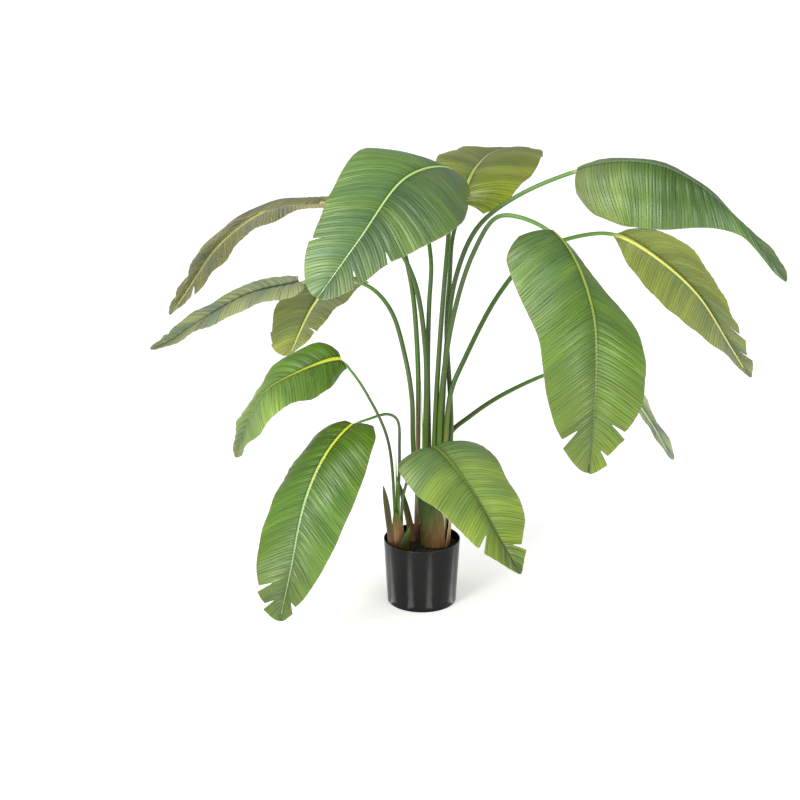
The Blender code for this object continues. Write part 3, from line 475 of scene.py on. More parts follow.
# %% Print colours of the leaves
PRINT = dict(top=("5c7a3c", "48682e", "506e38"), under=("8a9146", "7c8a40", "80884e"), rib=("9ab868", "7a9850"),
             stem=("48601a", "547814", "445e1e", "475f2a", "4c6a30", "588438"), rib_under=("dbe08c", "c4cc78"),
             wave=1.0, halves=(1.0, 1.0))
PRINTS = {
    "leaf_01": dict(top=("5a7e3c", "52723a", "637f4c"), rib=("b4dc6c", "a4c880"), halves=(0.77, 1.1)),
    "leaf_02": dict(top=("7e8f1c", "6c7a1c", "727f20"), rib=("c4cc50", "9aa040")),
    "leaf_03": dict(top=("70824a", "4e6c2a", "38561e", "5e8048", "5e744c"), rib=("5f7f4a", "4a6a38")),
    "leaf_04": dict(under=("76862e", "6c7c34", "707e56"), rib_under=("dcdc64", "c8cc80"),
                    stem=("e0d0bc", "8a8a50", "44621e", "4a6828", "4f722c", "5c8438")),
    "leaf_05": dict(top=("4f6e34", "4a6a18", "5a7014"), rib=("94ac38", "3e5e16"), wave=0.8,
                    halves=(1.22, 1.0)),
    "leaf_06": dict(under=("90a072", "8c9e78", "889a84"), rib_under=("c0d098", "a8b880")),
    "leaf_07": dict(top=("6c6e4e", "666a48", "5e643a"), under=("7a7c58", "74784c", "6c7436"),
                    rib=("c8c05a", "a8a850"), rib_under=("c8c860", "b0b058"),
                    stem=("a0785c", "b08c68", "566a2c", "4c6c2c", "4f7030", "5c8040"), wave=1.3),
    # leaf_08's nearly black midrib is painted shade in the midrib's channel
    "leaf_08": dict(top=("8e9a78", "7e8a66", "6a7a4e"), rib=("28381a", "1e2c10")),
    # leaf_09's underside is darkest at its base, a painted shade where its stem shades it
    "leaf_09": dict(under=("3e4e0a", "586619", "8c9a3c"), rib_under=("cfd868", "c4cc60"), wave=1.2),
    "leaf_10": dict(top=("3e6602", "6a8a3c", "5c7040"), rib=("c0cc30", "5c7c3c"), wave=1.6),
    "leaf_11": dict(top=("436408", "486a18", "475e16"), rib=("d4dc24", "8cac60", "7c9c58")),
    "leaf_12": dict(top=("627e4a", "7c983e", "58701f"), rib=("6c8a2c", "26400e"), wave=0.7,
                    halves=(1.0, 0.86)),
    "leaf_13": dict(top=("506c36", "4a6834", "52703e")),
}
MARGIN = linear("8b8464")                    # the dry line along the edge
print("midrib of the first leaf runs from", *PRINTS["leaf_01"]["rib"])


# %% A smooth path and a smooth blend
def smooth_path(points):
    """Points along the centripetal Catmull-Rom curve that passes through the given ones."""
    p = np.array(points, float)
    p = np.vstack([2 * p[0] - p[1], p, 2 * p[-1] - p[-2]])
    curve = []
    for p0, p1, p2, p3 in zip(p, p[1:], p[2:], p[3:]):
        t1 = math.sqrt(np.linalg.norm(p1 - p0))
        t2 = t1 + math.sqrt(np.linalg.norm(p2 - p1))
        t3 = t2 + math.sqrt(np.linalg.norm(p3 - p2))
        for t in np.linspace(t1, t2, PATH_STEPS, endpoint=False):
            a1 = ((t1 - t) * p0 + t * p1) / t1
            a2 = ((t2 - t) * p1 + (t - t1) * p2) / (t2 - t1)
            a3 = ((t3 - t) * p2 + (t - t2) * p3) / (t3 - t2)
            b1 = ((t2 - t) * a1 + t * a2) / t2
            b2 = ((t3 - t) * a2 + (t - t1) * a3) / (t3 - t1)
            curve.append(((t2 - t) * b1 + (t - t1) * b2) / (t2 - t1))
    curve.append(p[-2])
    return np.array(curve)


def travelled(points):
    """How far along the path each of its points lies."""
    return np.concatenate([[0.0], np.cumsum(np.linalg.norm(np.diff(points, axis=0), axis=1))])


def blend(values, t):
    """A smooth curve through equally spaced values, read at t from 0 to 1."""
    v = np.array([values[0], *values, values[-1]], float)
    x = np.clip(t, 0, 1) * (len(values) - 1)
    i = np.minimum(x.astype(int), len(values) - 2)
    f = x - i
    v0, v1, v2, v3 = v[i], v[i + 1], v[i + 2], v[i + 3]
    return v1 + 0.5 * f * (v2 - v0 + f * (2 * v0 - 5 * v1 + 4 * v2 - v3 + f * (3 * (v1 - v2) + v3 - v0)))


def tint_blend(colours, t):
    """Hex colours blended the same way, as linear colours."""
    channels = zip(*(linear(c) for c in colours))
    return np.clip(np.stack([blend(channel, t) for channel in channels], -1), 0, 1)


def ramp(value, start, end):
    """0 up to the start, 1 from the end on, and a straight rise between them."""
    return np.clip((value - start) / (end - start), 0, 1)


def unit(vectors):
    """The same directions, each with a length of 1."""
    return vectors / np.linalg.norm(vectors, axis=-1, keepdims=True)


print("halfway between 0 and 1 is", round(float(blend((0, 1), np.array(0.5))), 2))


# %% The law itself
class Leaf:
    """One leaf: a path up the stem and out along the midrib, and the sheet that hangs from it."""

    def __init__(self, spec):
        self.spec = spec
        self.points = smooth_path(spec["stem"] + spec["rib"])
        self.arc = travelled(self.points)
        self.base = self.arc[PATH_STEPS * len(spec["stem"])]
        self.length = self.arc[-1] - self.base
        self.slopes = unit(np.gradient(self.points, axis=0))

    def at(self, along):
        """Position and direction of the path, measured from the blade's base."""
        position, direction = (np.stack([np.interp(self.base + along, self.arc, values[:, k]) for k in range(3)], -1)
                               for values in (self.points, self.slopes))
        return position, unit(direction)

    def radius(self, along):
        """The stem's radius: foot to blade, then blade to tip."""
        foot, neck, tip = self.spec.get("stem_radii", MAIN_STEM)
        stem = foot + (neck - foot) * ramp(along, -self.base, 0) ** STEM_TAPER
        rib = neck + (tip - neck) * ramp(along, 0, self.length)
        return np.where(along < 0, stem, rib)

    def frame(self, direction):
        """Level right-hand side and upward normal of the path."""
        heading = math.radians(self.spec["heading"])
        right = np.array([math.sin(heading), -math.cos(heading), 0.0])
        right = unit(right - direction * (direction @ right)[..., None])
        return right, np.cross(right, direction)

    def lift(self, along):
        """How far the sheet rides above the stem's centre, more where a half falls away steeply."""
        steepest = 0.0
        for side in SIDES:
            tilt, curl = self.pose(side, along)
            steepest = np.maximum(steepest, -tilt - np.arctan(3 * curl))
        return (self.radius(along) + SHEET / 2 + 2 * GAP) / np.cos(steepest)

    def pose(self, side, along):
        """A half's tilt in radians and its curl, as a share of its width."""
        share = along / self.length
        curl = blend(self.spec.get("curl_" + side, CURL), share)
        return np.radians(blend(self.spec[side], share)), curl

    def outline(self, side, t):
        """Half width of the blade where a vein meets the edge. t is the edge's own run from 0 to 1."""
        fullness, bluntness = self.spec.get("shape", SHAPE)
        width = self.spec["width"][SIDES.index(side)]
        width = width * np.sin(math.pi * np.clip(BASE_WIDTH + (1 - BASE_WIDTH) * t, 0, 1) ** fullness) ** bluntness
        width = width * blend(self.spec.get("trim_" + side, (1, 1)), t)
        return width * (1 - SHOULDER_CUT * (1 - ramp(t, 0, SHOULDER)) ** 2)

    def half(self, side, u, r):
        """Points, upward normals and vein lengths of one half. u runs along the midrib, r out to the edge."""
        hand = 1 if side == "left" else -1
        lobe = self.spec.get("lobe", LOBE)
        t = u ** VEIN_SWEEP
        edge = ((1 + lobe) * t - lobe) * self.length
        width = self.outline(side, t)
        along = u * RIB_SHARE * self.length
        along = along + (edge - along) * r ** VEIN_BEND

        position, direction = self.at(along)
        _, up = self.frame(direction)
        level = np.hypot(np.maximum(along, 0), self.spec.get("calm", CALM) * self.length)
        _, level_direction = self.at(level)
        right, level_up = self.frame(level_direction)
        tilt, curl = self.pose(side, along)
        out = np.cos(tilt)[..., None] * (-hand * right) + np.sin(tilt)[..., None] * level_up
        normal = np.cross(level_direction, hand * out)
        bulge = 4 * curl * width * r * (1 - r)
        point = position + up * self.lift(along)[..., None] + out * (width * r)[..., None]
        return point + normal * bulge[..., None], normal, width * r


first = Leaf(LEAVES["leaf_01"])
print("first leaf: stem", round(first.base, 2), "m, blade", round(first.length, 2), "m")

# %% [markdown]
# ## Blades
# A blade is one bmesh grid, bent onto the law. Real sheets are never smooth, so four things are laid over the
# law: pleats along the veins, a slow billow over the whole half, a ripple that grows towards the edge, and a
# ridge where the stem presses up through the sheet. The first three come from sines whose phases are
# drawn from a seeded generator, so that the leaf is the same on each run. A tear is a column of the grid
# that stands twice, with the faces between its two copies removed, and its lips are pulled apart.

# %% Grid columns, rows and tears
BLADE_COLUMNS = 190
BLADE_ROWS = 14
CROWDING = 1.7             # above 1 the rows crowd towards the midrib, where the ridge is
MARGIN_ROW = 0.985         # the last row before the edge, so that the margin's line is thin
TEAR_REACH = 0.06          # share of the midrib over which the sheet beside a tear gives way
LIP_LIFT = 0.005           # one lip of a tear stands up by this much, and the other hangs


def blade_columns(spec):
    """Places along the midrib where the veins start. Each tear has its place twice, one for each lip.
    A regular place that is too near a tear's gives way to it."""
    tears = sorted({place for _, place, _, _ in spec["tears"]})
    regular = [k / BLADE_COLUMNS for k in range(BLADE_COLUMNS + 1)]
    regular = [u for u in regular if all(abs(u - tear) > 0.4 / BLADE_COLUMNS for tear in tears)]
    return sorted(regular + tears + tears)


def blade_rows():
    """Shares of the half width, from the midrib out to the edge."""
    return [(k / BLADE_ROWS) ** CROWDING for k in range(BLADE_ROWS)] + [MARGIN_ROW, 1.0]


def tear_pull(leaf, side, columns, u, r):
    """How far each point is pulled along the midrib by the tears of its side, and lifted by its lip."""
    pull, lip = np.zeros_like(u), np.zeros_like(u)
    places = np.arange(len(columns))[:, None]
    for tear_side, place, start, gap in leaf.spec["tears"]:
        if tear_side == side:
            direction = np.where(places > columns.index(place), 1, -1)
            opened = direction * ramp(r, start, 1) * np.exp(-np.abs(u - place) / TEAR_REACH)
            pull = pull + gap / 2 * opened
            lip = lip + LIP_LIFT * opened
    return pull, lip


print("a blade without tears has", BLADE_COLUMNS + 1, "columns and", 2 * len(blade_rows()) - 1, "rows")


# %% Relief of a half
PLEAT = 0.031              # distance between the broad folds that the pressed veins lie on
PLEAT_HEIGHT = 0.0019
PLEAT_START = 0.12         # share of the half width over which a pleat rises from the midrib
PLEAT_FLATTEN = 0.45       # share of its height that it loses by the edge
# A sine below has a length in metres, which is its wavelength over two pi, and may have a strength.
PLEAT_FADE = (0.13, 0.07)
PLEAT_DRIFT = ((0.09, 1.6), (0.041, 1.1))
RIPPLE = ((0.036, 0.625), (0.021, 0.5), (0.07, 0.5625))
RIPPLE_HEIGHT = 0.0055
RIPPLE_START = 0.35        # share of the half width where the edge starts to ripple
BILLOW = (0.048, 0.11)
BILLOW_HEIGHT = 0.004
BILLOW_TURN = 6            # radians that a billow leans in a metre of vein
RIB_BAND = (0.0070, 0.0018)                  # half width of the midrib's band, at the base and at the tip
RIDGE = 0.0026


def sines(run, waves, phases):
    """The sum of some sines along the midrib."""
    return sum(strength * np.sin(run / length + phase) for (length, strength), phase in zip(waves, phases))


def rib_band(u):
    """Half width of the midrib's band along the blade."""
    return RIB_BAND[0] + (RIB_BAND[1] - RIB_BAND[0]) * u


def relief(leaf, u, r, reach, seed, waviness):
    """Height above the law: pleats along the veins, a billow, a ripple by the edge, and the midrib's ridge."""
    phase = np.random.default_rng(seed).uniform(0, 2 * math.pi, 8)
    run = u * RIB_SHARE * leaf.length
    strength = 0.65 + 0.35 * np.sin(run / PLEAT_FADE[0] + phase[2]) * np.sin(run / PLEAT_FADE[1] + phase[3])
    strength = strength * ramp(r, 0, PLEAT_START) * (1 - PLEAT_FLATTEN * r ** 3)
    pleats = PLEAT_HEIGHT * strength * np.sin(2 * math.pi * run / PLEAT + sines(run, PLEAT_DRIFT, phase[:2]))
    ripple = RIPPLE_HEIGHT * waviness * sines(run, RIPPLE, phase[4:7]) * ramp(r, RIPPLE_START, 1) ** 1.6
    billow = np.sin(run / BILLOW[0] + BILLOW_TURN * reach + phase[7]) * np.sin(run / BILLOW[1] + phase[0])
    billow = BILLOW_HEIGHT * billow * ramp(r, 0, 0.4)
    share = reach / rib_band(u)
    ridge = RIDGE * np.sqrt(1.02 - u) * (1.4 * np.exp(-share ** 2) - 0.4 * np.exp(-(share / 2) ** 2))
    off_rib, off_base, off_tip = ramp(reach, -0.01, 0.01), ramp(u, 0, 0.03), ramp(1 - u, 0, 0.05)
    return ((pleats + ripple + billow) * off_base * off_rib + ridge) * off_tip


print("pleats stand", round(PLEAT * 1000), "mm apart and", PLEAT_HEIGHT * 1000, "mm high")


# %% Soft patches of print
PATCH = (0.07, 0.22)       # size of a patch along the midrib and along the veins
PATCH_SHADE = (0.42, 0.30, -0.1, 0.0)         # red and green rise most, so a bright patch is a yellow one
# the lines below paint a yellow highlight towards the edge and a shade right beside the midrib
RIM_PAINTED_HIGHLIGHT = (0.30, 0.18, -0.05, 0.0)
RIB_PAINTED_SHADE = 0.2        # how much darker the print is right beside the midrib
RIB_PAINTED_SHADE_RUN = 0.03        # how far out that darkness reaches


def print_patches(leaf, u, halves, seed):
    """A factor on the print at each grid point: soft patches, a painted shade by the midrib and a painted yellow
    highlight by the edge.
    """
    run = u * RIB_SHARE * leaf.length / PATCH[0]
    factors = {}
    for side, (_, reach) in halves.items():
        soft = np.array([noise.noise((x, y, seed)) for x, y in zip(run.flat, (reach / PATCH[1]).flat)])
        soft = soft.reshape(u.shape)
        painted_shade_by_rib = 1 - RIB_PAINTED_SHADE * np.exp(-(reach / RIB_PAINTED_SHADE_RUN) ** 2)
        painted_highlight_by_rim = (reach / reach.max(axis=1, keepdims=True).clip(0.001)) ** 3
        factor = 1 + soft[..., None] * np.array(PATCH_SHADE) + painted_highlight_by_rim[..., None] * np.array(RIM_PAINTED_HIGHLIGHT)
        factors[side] = np.clip(factor * painted_shade_by_rib[..., None], 0.2, 2.0)
    return factors


print("a patch of print is", PATCH[0], "m by", PATCH[1], "m, and its red changes by up to", PATCH_SHADE[0])


# %% Bend, tear and finish a sheet
def bent_halves(leaf, columns, u, r, waviness, seed):
    """For each half, where its grid points lie and how far each is from the midrib."""
    halves = {}
    for side in SIDES:
        point, normal, reach = leaf.half(side, u, r)
        pull, lip = tear_pull(leaf, side, columns, u, r)
        _, direction = leaf.at(u * leaf.length)
        height = relief(leaf, u, r, reach, seed + (side == "left"), waviness) + lip
        halves[side] = (point + normal * height[..., None] + direction * pull[..., None], reach)
    return halves


def open_tears(bm, leaf, columns, rows, cell):
    """Removes the faces between the two copies of each torn column, from the start of the tear outwards."""
    slits = []
    for side, place, start, _ in leaf.spec["tears"]:
        hand = 1 if side == "left" else -1
        pair = {columns.index(place), columns.index(place) + 1}
        for face in bm.faces:
            cells = [cell[vert] for vert in face.verts]
            open_here = all(hand * row >= 0 and rows[abs(row)] >= start - 0.01 for _, row in cells)
            if open_here and {column for column, _ in cells} == pair:
                slits.append(face)
    bmesh.ops.delete(bm, geom=slits, context="FACES")


def finished(bm, name, smooth=True):
    """Turns a bmesh into a mesh and lets the bmesh go."""
    mesh = bpy.data.meshes.new(name)
    bm.to_mesh(mesh)
    bm.free()
    if smooth:
        mesh.shade_smooth()
    return mesh


print("the table has", sum(len(leaf["tears"]) for leaf in LEAVES.values()), "tears")


# %% Build a blade
MERGE = 0.00002            # points nearer than this are one
HALVES_APART = 3.0         # metres between the vein maps of the two halves, so that their patterns differ


def blade_mesh(name, leaf, prints, seed):
    """The grid of one blade, with its tears, its vein map and its print."""
    columns, rows = blade_columns(leaf.spec), blade_rows()
    across = len(rows) - 1
    u, r = np.meshgrid(columns, rows, indexing="ij")
    halves = bent_halves(leaf, columns, u, r, prints["wave"], seed)
    patch = print_patches(leaf, u, halves, seed)
    top, under, rib_top = (tint_blend(prints[part], u) for part in ("top", "under", "rib"))

    bm = bmesh.new()
    bmesh.ops.create_grid(bm, x_segments=len(columns) - 1, y_segments=2 * across, size=0.5)
    vein, rib = (bm.loops.layers.uv.new(layer) for layer in ("vein", "rib"))
    tint, tint_under, rib_tint = (bm.verts.layers.float_color.new(layer)
                                  for layer in ("tint", "tint_under", "rib_tint"))
    cell = {}
    for vert in bm.verts:
        column = round((vert.co.x + 0.5) * (len(columns) - 1))
        row = round(vert.co.y * 2 * across)
        side, at = "left" if row >= 0 else "right", (column, abs(row))
        cell[vert] = (column, row)
        vert.co = halves[side][0][at]
        # this factor holds painted shade by the midrib, a painted highlight by the edge and the halves' painted light
        # and shade
        shade = patch[side][at] * prints["halves"][SIDES.index(side)]
        at_margin = abs(row) == across
        vert[tint] = MARGIN if at_margin else tuple(top[at] * shade)
        vert[tint_under] = MARGIN if at_margin else tuple(under[at] * shade)
        vert[rib_tint] = tuple(rib_top[at])
    for face in bm.faces:
        on_right = any(cell[vert][1] < 0 for vert in face.verts)
        for loop in face.loops:
            column, row = cell[loop.vert]
            reach = halves["left" if row >= 0 else "right"][1][column, abs(row)]
            loop[vein].uv = (columns[column] * RIB_SHARE * leaf.length + HALVES_APART * on_right, reach)
            loop[rib].uv = (columns[column], reach / rib_band(columns[column]))
    open_tears(bm, leaf, columns, rows, cell)
    bmesh.ops.remove_doubles(bm, verts=bm.verts, dist=MERGE)
    return finished(bm, name)


print("the two halves read the pattern", HALVES_APART, "m apart")


# %% Put pieces in the scene
SHEET_SEEN = 0.0012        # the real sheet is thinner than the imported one


def settle(name, mesh, materials, slot, *nodes):
    """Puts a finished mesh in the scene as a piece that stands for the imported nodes."""
    piece = bpy.data.objects.new(name, mesh)
    for material in materials:
        piece.data.materials.append(material)
    bpy.context.scene.collection.objects.link(piece)
    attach(piece, "root")
    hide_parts(*nodes)
    return piece


def give_thickness(piece, thickness):
    """A wall to both sides of the sheet. Its back takes the second material and its rim the third."""
    wall = piece.modifiers.new("thickness", "SOLIDIFY")
    wall.thickness = thickness
    wall.offset = 0.0
    wall.material_offset = 1
    wall.material_offset_rim = 2


print("a sheet is", SHEET_SEEN * 1000, "mm thick")

# %% All thirteen blades
leaves = {name: Leaf(spec) for name, spec in LEAVES.items()}
for number, (name, leaf) in enumerate(leaves.items()):
    prints = {**PRINT, **PRINTS[name]}
    mesh = blade_mesh(name + "_sheet", leaf, prints, seed=20 + 7 * number)
    blade = settle(name + "_sheet", mesh, (LEAF_TOP, LEAF_UNDER, LEAF_EDGE), "leaf_blade", name + "_blade")
    give_thickness(blade, SHEET_SEEN)
    print(name, "blade", round(leaf.length, 2), "m long,", len(mesh.polygons), "faces")

# %% [markdown]
# ## Stems
# A stem is a rolled grid: its rows go round and its columns go along. The seam closes when doubles are merged,
# and the two ends are filled. Rolling a grid gives a UV map in metres for free. The green of the stem turns
# into the midrib's colour where the blade starts.

# %% Roll a tube
TUBE_SIDES = 14


def strand_grid(columns, rows):
    """A unit grid with an empty run map and tint, to be bent into a stem, a leaf base or a bract."""
    bm = bmesh.new()
    bmesh.ops.create_grid(bm, x_segments=columns, y_segments=rows, size=0.5)
    return bm, bm.loops.layers.uv.new("run"), bm.verts.layers.float_color.new("tint")


def map_run(bm, run, places):
    """Fills the run map from each point's place, in metres around and along the piece."""
    for face in bm.faces:
        for loop in face.loops:
            loop[run].uv = places[loop.vert]


def rolled(name, centres, rights, ups, radii, tints):
    """A closed tube through the centres, with its map and its tints along the way."""
    steps = len(centres) - 1
    bm, run, tint = strand_grid(steps, TUBE_SIDES)
    along = travelled(centres)
    places = {}
    for vert in bm.verts:
        step, turn = round((vert.co.x + 0.5) * steps), vert.co.y + 0.5
        angle = 2 * math.pi * turn
        places[vert] = (angle * radii[0], along[step])
        vert.co = centres[step] + (rights[step] * math.cos(angle) - ups[step] * math.sin(angle)) * radii[step]
        vert[tint] = tuple(tints[step])
    map_run(bm, run, places)
    bmesh.ops.remove_doubles(bm, verts=bm.verts, dist=MERGE)
    bmesh.ops.holes_fill(bm, edges=bm.edges, sides=TUBE_SIDES)
    bmesh.ops.recalc_face_normals(bm, faces=bm.faces)
    return finished(bm, name)


print("a tube has", TUBE_SIDES, "sides")


# %% All thirteen stems
STEM_STEP = 0.012
CHANGE = 0.03              # the stem's colour turns into the midrib's over this far on either side of the base
for name, leaf in leaves.items():
    prints = {**PRINT, **PRINTS[name]}
    petiole = np.linspace(-leaf.base, 0, round(leaf.base / STEM_STEP))
    midrib = np.linspace(0, RIB_SHARE * leaf.length, round(leaf.length / STEM_STEP))[1:]
    along = np.concatenate([petiole, midrib])
    centres, directions = leaf.at(along)
    rights, ups = leaf.frame(directions)
    on_stem = tint_blend(prints["stem"], 1 + along / leaf.base)
    on_rib = tint_blend(prints["rib_under"], along / leaf.length)
    share = ramp(along, -CHANGE, CHANGE)[:, None]
    mesh = rolled(name + "_stem", centres, rights, ups, leaf.radius(along), on_stem * (1 - share) + on_rib * share)
    settle(name + "_stem", mesh, (STEM,), "leaf_stalk", name + "_stalk")
print(len(leaves), "stems, the last with", len(mesh.polygons), "faces")

# %% [markdown]
# ## Leaf bases and bracts
# Old leaf bases wrap the foot of each clump. On the plant they are pressed cloth, brown and fibrous below
# and green above, each cut to a point. They are grids too, wrapped on an oval. A wrap's taper says how late
# it narrows: a high number keeps it wide for longer. Ribs along the fibres and a ragged edge are moved
# into the points, and the finer strands are left to the finish. The bracts are flat grids, hollowed a
# little. Blunt says how late a bract narrows, and twist turns it on its way up.

# %% Leaf bases
SHEATH_RISE = 0.20         # height at which a wrap has its top centre and its top radii
BROWN_LEAN = 0.25          # the brown foot reaches higher on the right of a wrap than on its left
POINTED = 0.96             # a wrap loses this share of its width by its top
RAGGED = ((40, 0.02), (97, 0.015))           # pairs of a sine's radians over the wrap and its strength
FIBRE_RIBS = ((62, 0.0005), (135, 0.0004))
WRAP_THICKNESS = 0.0022
SHEATHS = {
    "trunk_sheath_front": dict(centre=(0.054, 0.0), top_centre=(0.044, 0.004), radii=(0.054, 0.042),
                               top_radii=(0.070, 0.046), span=(-168, -49), point=-112, height=0.29,
                               tints=("7c5a34", "625628", "3b4c1c", "324516", "34481a")),
    "trunk_sheath_right": dict(centre=(0.054, 0.0), top_centre=(0.046, 0.004), radii=(0.054, 0.042),
                               top_radii=(0.072, 0.046), span=(-45, 16), point=-14, height=0.15, taper=1.5,
                               tints=("7e5c3a", "94744e", "b2966e", "ccb494")),
    "trunk_sheath_back": dict(centre=(0.054, 0.002), top_centre=(0.050, 0.004), radii=(0.054, 0.044),
                              top_radii=(0.070, 0.050), span=(24, 150), point=80, height=0.24,
                              tints=("70502c", "66542f", "4d5a30", "45562c")),
    "side_sheath_front": dict(centre=(-0.091, -0.048), top_centre=(-0.092, -0.051), radii=(0.0225, 0.0225),
                              top_radii=(0.026, 0.020), span=(-176, -4), point=-120, height=0.17,
                              tints=("6e4f36", "9a724e", "7c6e38", "5c7028")),
    "side_sheath_back": dict(centre=(-0.091, -0.048), top_centre=(-0.092, -0.048), radii=(0.0225, 0.0225),
                             top_radii=(0.026, 0.022), span=(6, 174), point=100, height=0.13,
                             tints=("80603f", "94744e", "707040", "5f7238")),
}


def wrapped(name, spec, seed, columns=64, rows=48):
    """One leaf base: an oval wrap that opens as it rises and narrows to a point."""
    phase = np.random.default_rng(seed).uniform(0, 2 * math.pi, 4)
    bm, run, tint = strand_grid(columns, rows)
    low, high = spec["span"]
    middle = math.radians(spec["point"])
    places = {}
    for vert in bm.verts:
        rise, side = vert.co.y + 0.5, vert.co.x + 0.5
        ragged = 1 + sum(strength * math.sin(turns * rise + p) for (turns, strength), p in zip(RAGGED, phase))
        narrowed = 1 - POINTED * rise ** spec.get("taper", 2.2)
        angle = middle + (math.radians(low + (high - low) * side) - middle) * narrowed * ragged
        height = rise * spec["height"]
        opening = height / SHEATH_RISE
        cx, cy = (a + (b - a) * opening for a, b in zip(spec["centre"], spec["top_centre"]))
        rx, ry = (a + (b - a) * opening for a, b in zip(spec["radii"], spec["top_radii"]))
        rib = sum(strength * math.sin(turns * side + p) for (turns, strength), p in zip(FIBRE_RIBS, phase[2:]))
        vert.co = (cx + (rx + rib) * math.cos(angle), cy + (ry + rib) * math.sin(angle), ON_SOIL + height)
        vert[tint] = tuple(tint_blend(spec["tints"], np.array(rise - BROWN_LEAN * (side - 0.5))))
        places[vert] = (angle * rx, height)
    map_run(bm, run, places)
    return finished(bm, name)


for number, (name, spec) in enumerate(SHEATHS.items()):
    mesh = wrapped(name + "_wrap", spec, seed=300 + number)
    piece = settle(name + "_wrap", mesh, (FIBRE, FIBRE, PAPER_EDGE), "leaf_base", name)
    give_thickness(piece, WRAP_THICKNESS)
print(len(SHEATHS), "leaf bases")

# %% Bracts
LEAN = 1.4                 # above 1 a bract leans out more and more as it rises
TIP_WIDTH = 0.06
BRACT_RIB = 0.0003
BRACTS = {
    "bract_left": dict(foot=(-0.1240, -0.057), tip=(-0.148, -0.062, 0.495), half_width=0.0165, cup=0.006, blunt=5,
                       facing=35, twist=30, tints=("784c34", "4c3c14", "46420c", "4a5614")),
    "bract_front": dict(foot=(-0.070, -0.089), tip=(-0.048, -0.093, 0.340), half_width=0.021, cup=0.007,
                        facing=110, tints=("5a4a1c", "3a420e", "34500c", "4a6c18")),
    "bract_rear": dict(foot=(-0.038, 0.022), tip=(-0.098, 0.030, 0.50), half_width=0.014, cup=0.005, blunt=3.5,
                       facing=75, tints=("a8785c", "6c5a30", "3c5018", "2e4a14")),
}


def cupped(name, spec, columns=20, rows=48):
    """A loose pointed bract, hollow on one side."""
    foot = np.array([*spec["foot"], ON_SOIL])
    reach = np.array(spec["tip"]) - foot
    bm, run, tint = strand_grid(columns, rows)
    places = {}
    for vert in bm.verts:
        rise, v = vert.co.y + 0.5, 2 * vert.co.x
        facing = math.radians(spec["facing"] + spec.get("twist", 0) * rise)
        hollow = np.array([math.cos(facing), math.sin(facing), 0.0])
        across = np.array([-math.sin(facing), math.cos(facing), 0.0])
        lean = reach * np.array([rise ** LEAN, rise ** LEAN, rise])
        narrowed = TIP_WIDTH + (1 - TIP_WIDTH) * (1 - rise ** spec.get("blunt", 2.4))
        half_width = spec["half_width"] * narrowed
        depth = spec["cup"] * v * v * narrowed + BRACT_RIB * math.sin(v * 14)
        vert.co = foot + lean + across * (half_width * v) + hollow * depth
        vert[tint] = tuple(tint_blend(spec["tints"], np.array(rise)))
        places[vert] = (half_width * v, rise * reach[2])
    map_run(bm, run, places)
    return finished(bm, name)


for name, spec in BRACTS.items():
    piece = settle(name + "_leafy", cupped(name + "_leafy", spec), (BRACT_SKIN, BRACT_SKIN, PAPER_EDGE),
                   "leaf_base", name)
    give_thickness(piece, WRAP_THICKNESS)
print(len(BRACTS), "bracts")

# %% Furled young leaves
SPEARS = {
    "trunk_spear": dict(path=[(-0.001, -0.003, FOOT_Z), (-0.003, -0.008, 0.37), (0.001, -0.020, 0.62),
                              (-0.006, -0.022, 0.90)],
                        radius=0.0036),
    "side_spear": dict(path=[(-0.094, -0.0355, FOOT_Z), (-0.098, -0.036, 0.42), (-0.101, -0.036, 0.64)],
                       radius=0.0034),
}
SPEAR_TAPER = 0.75         # a furled leaf loses this share of its radius from its middle to its tip
for name, spec in SPEARS.items():
    path = smooth_path(spec["path"])
    share = np.linspace(0, 1, len(path))
    directions = unit(np.gradient(path, axis=0))
    rights = unit(np.cross(directions, np.array([0.0, 1.0, 0.0])))
    ups = np.cross(rights, directions)
    radii = spec["radius"] * (1 - SPEAR_TAPER * ramp(share, 0.5, 1) ** 1.6)
    tints = tint_blend(("55702f", "7f9a4c", "a3b86a"), share)
    settle(name + "_roll", rolled(name + "_roll", path, rights, ups, radii, tints), (STEM,), "young_leaf", name)
print(len(SPEARS), "furled leaves")

# %% [markdown]
# ## Soil
# The soil is dyed foam crumb. A grid pulled out to a disc gives evenly sized faces, which a ring of wedges
# wouldn't. Noise lifts it by a few millimetres, its rim is drawn down as a skirt, and loose crumbs with a
# few faces each are scattered over it. A few crumbs are pale grit.

# %% Soil
SOIL_RADIUS = 0.142
SOIL_GRID = 72
SOIL_LUMPS = 18            # lumps over the bed's radius
LUMP_HEIGHT = 0.0022
SUNK = 0.001               # the bed lies this much lower than the packed soil, so that its lumps stay in
EDGE_FROM, EDGE_DROP = 0.9, 0.02             # past this share of the radius the bed falls, by 2 cm per radius
SKIRT_SHARE, SKIRT_FOOT = 0.93, 0.0045       # the skirt's foot, as a share of the bed's radius, and its height
soil = bmesh.new()
bmesh.ops.create_grid(soil, x_segments=SOIL_GRID, y_segments=SOIL_GRID, size=1.0)
for vert in soil.verts:
    x, y = vert.co.x, vert.co.y
    px, py = x * math.sqrt(1 - y * y / 2), y * math.sqrt(1 - x * x / 2)
    rough = noise.fractal(Vector((px * SOIL_LUMPS, py * SOIL_LUMPS, 0.3)), 0.6, 2.0, 4)
    height = LUMP_HEIGHT * rough - EDGE_DROP * max(0.0, math.hypot(px, py) - EDGE_FROM)
    vert.co = (px * SOIL_RADIUS, py * SOIL_RADIUS, SOIL_TOP - SUNK + height)
border = [edge for edge in soil.edges if edge.is_boundary]
skirt = bmesh.ops.extrude_edge_only(soil, edges=border)["geom"]
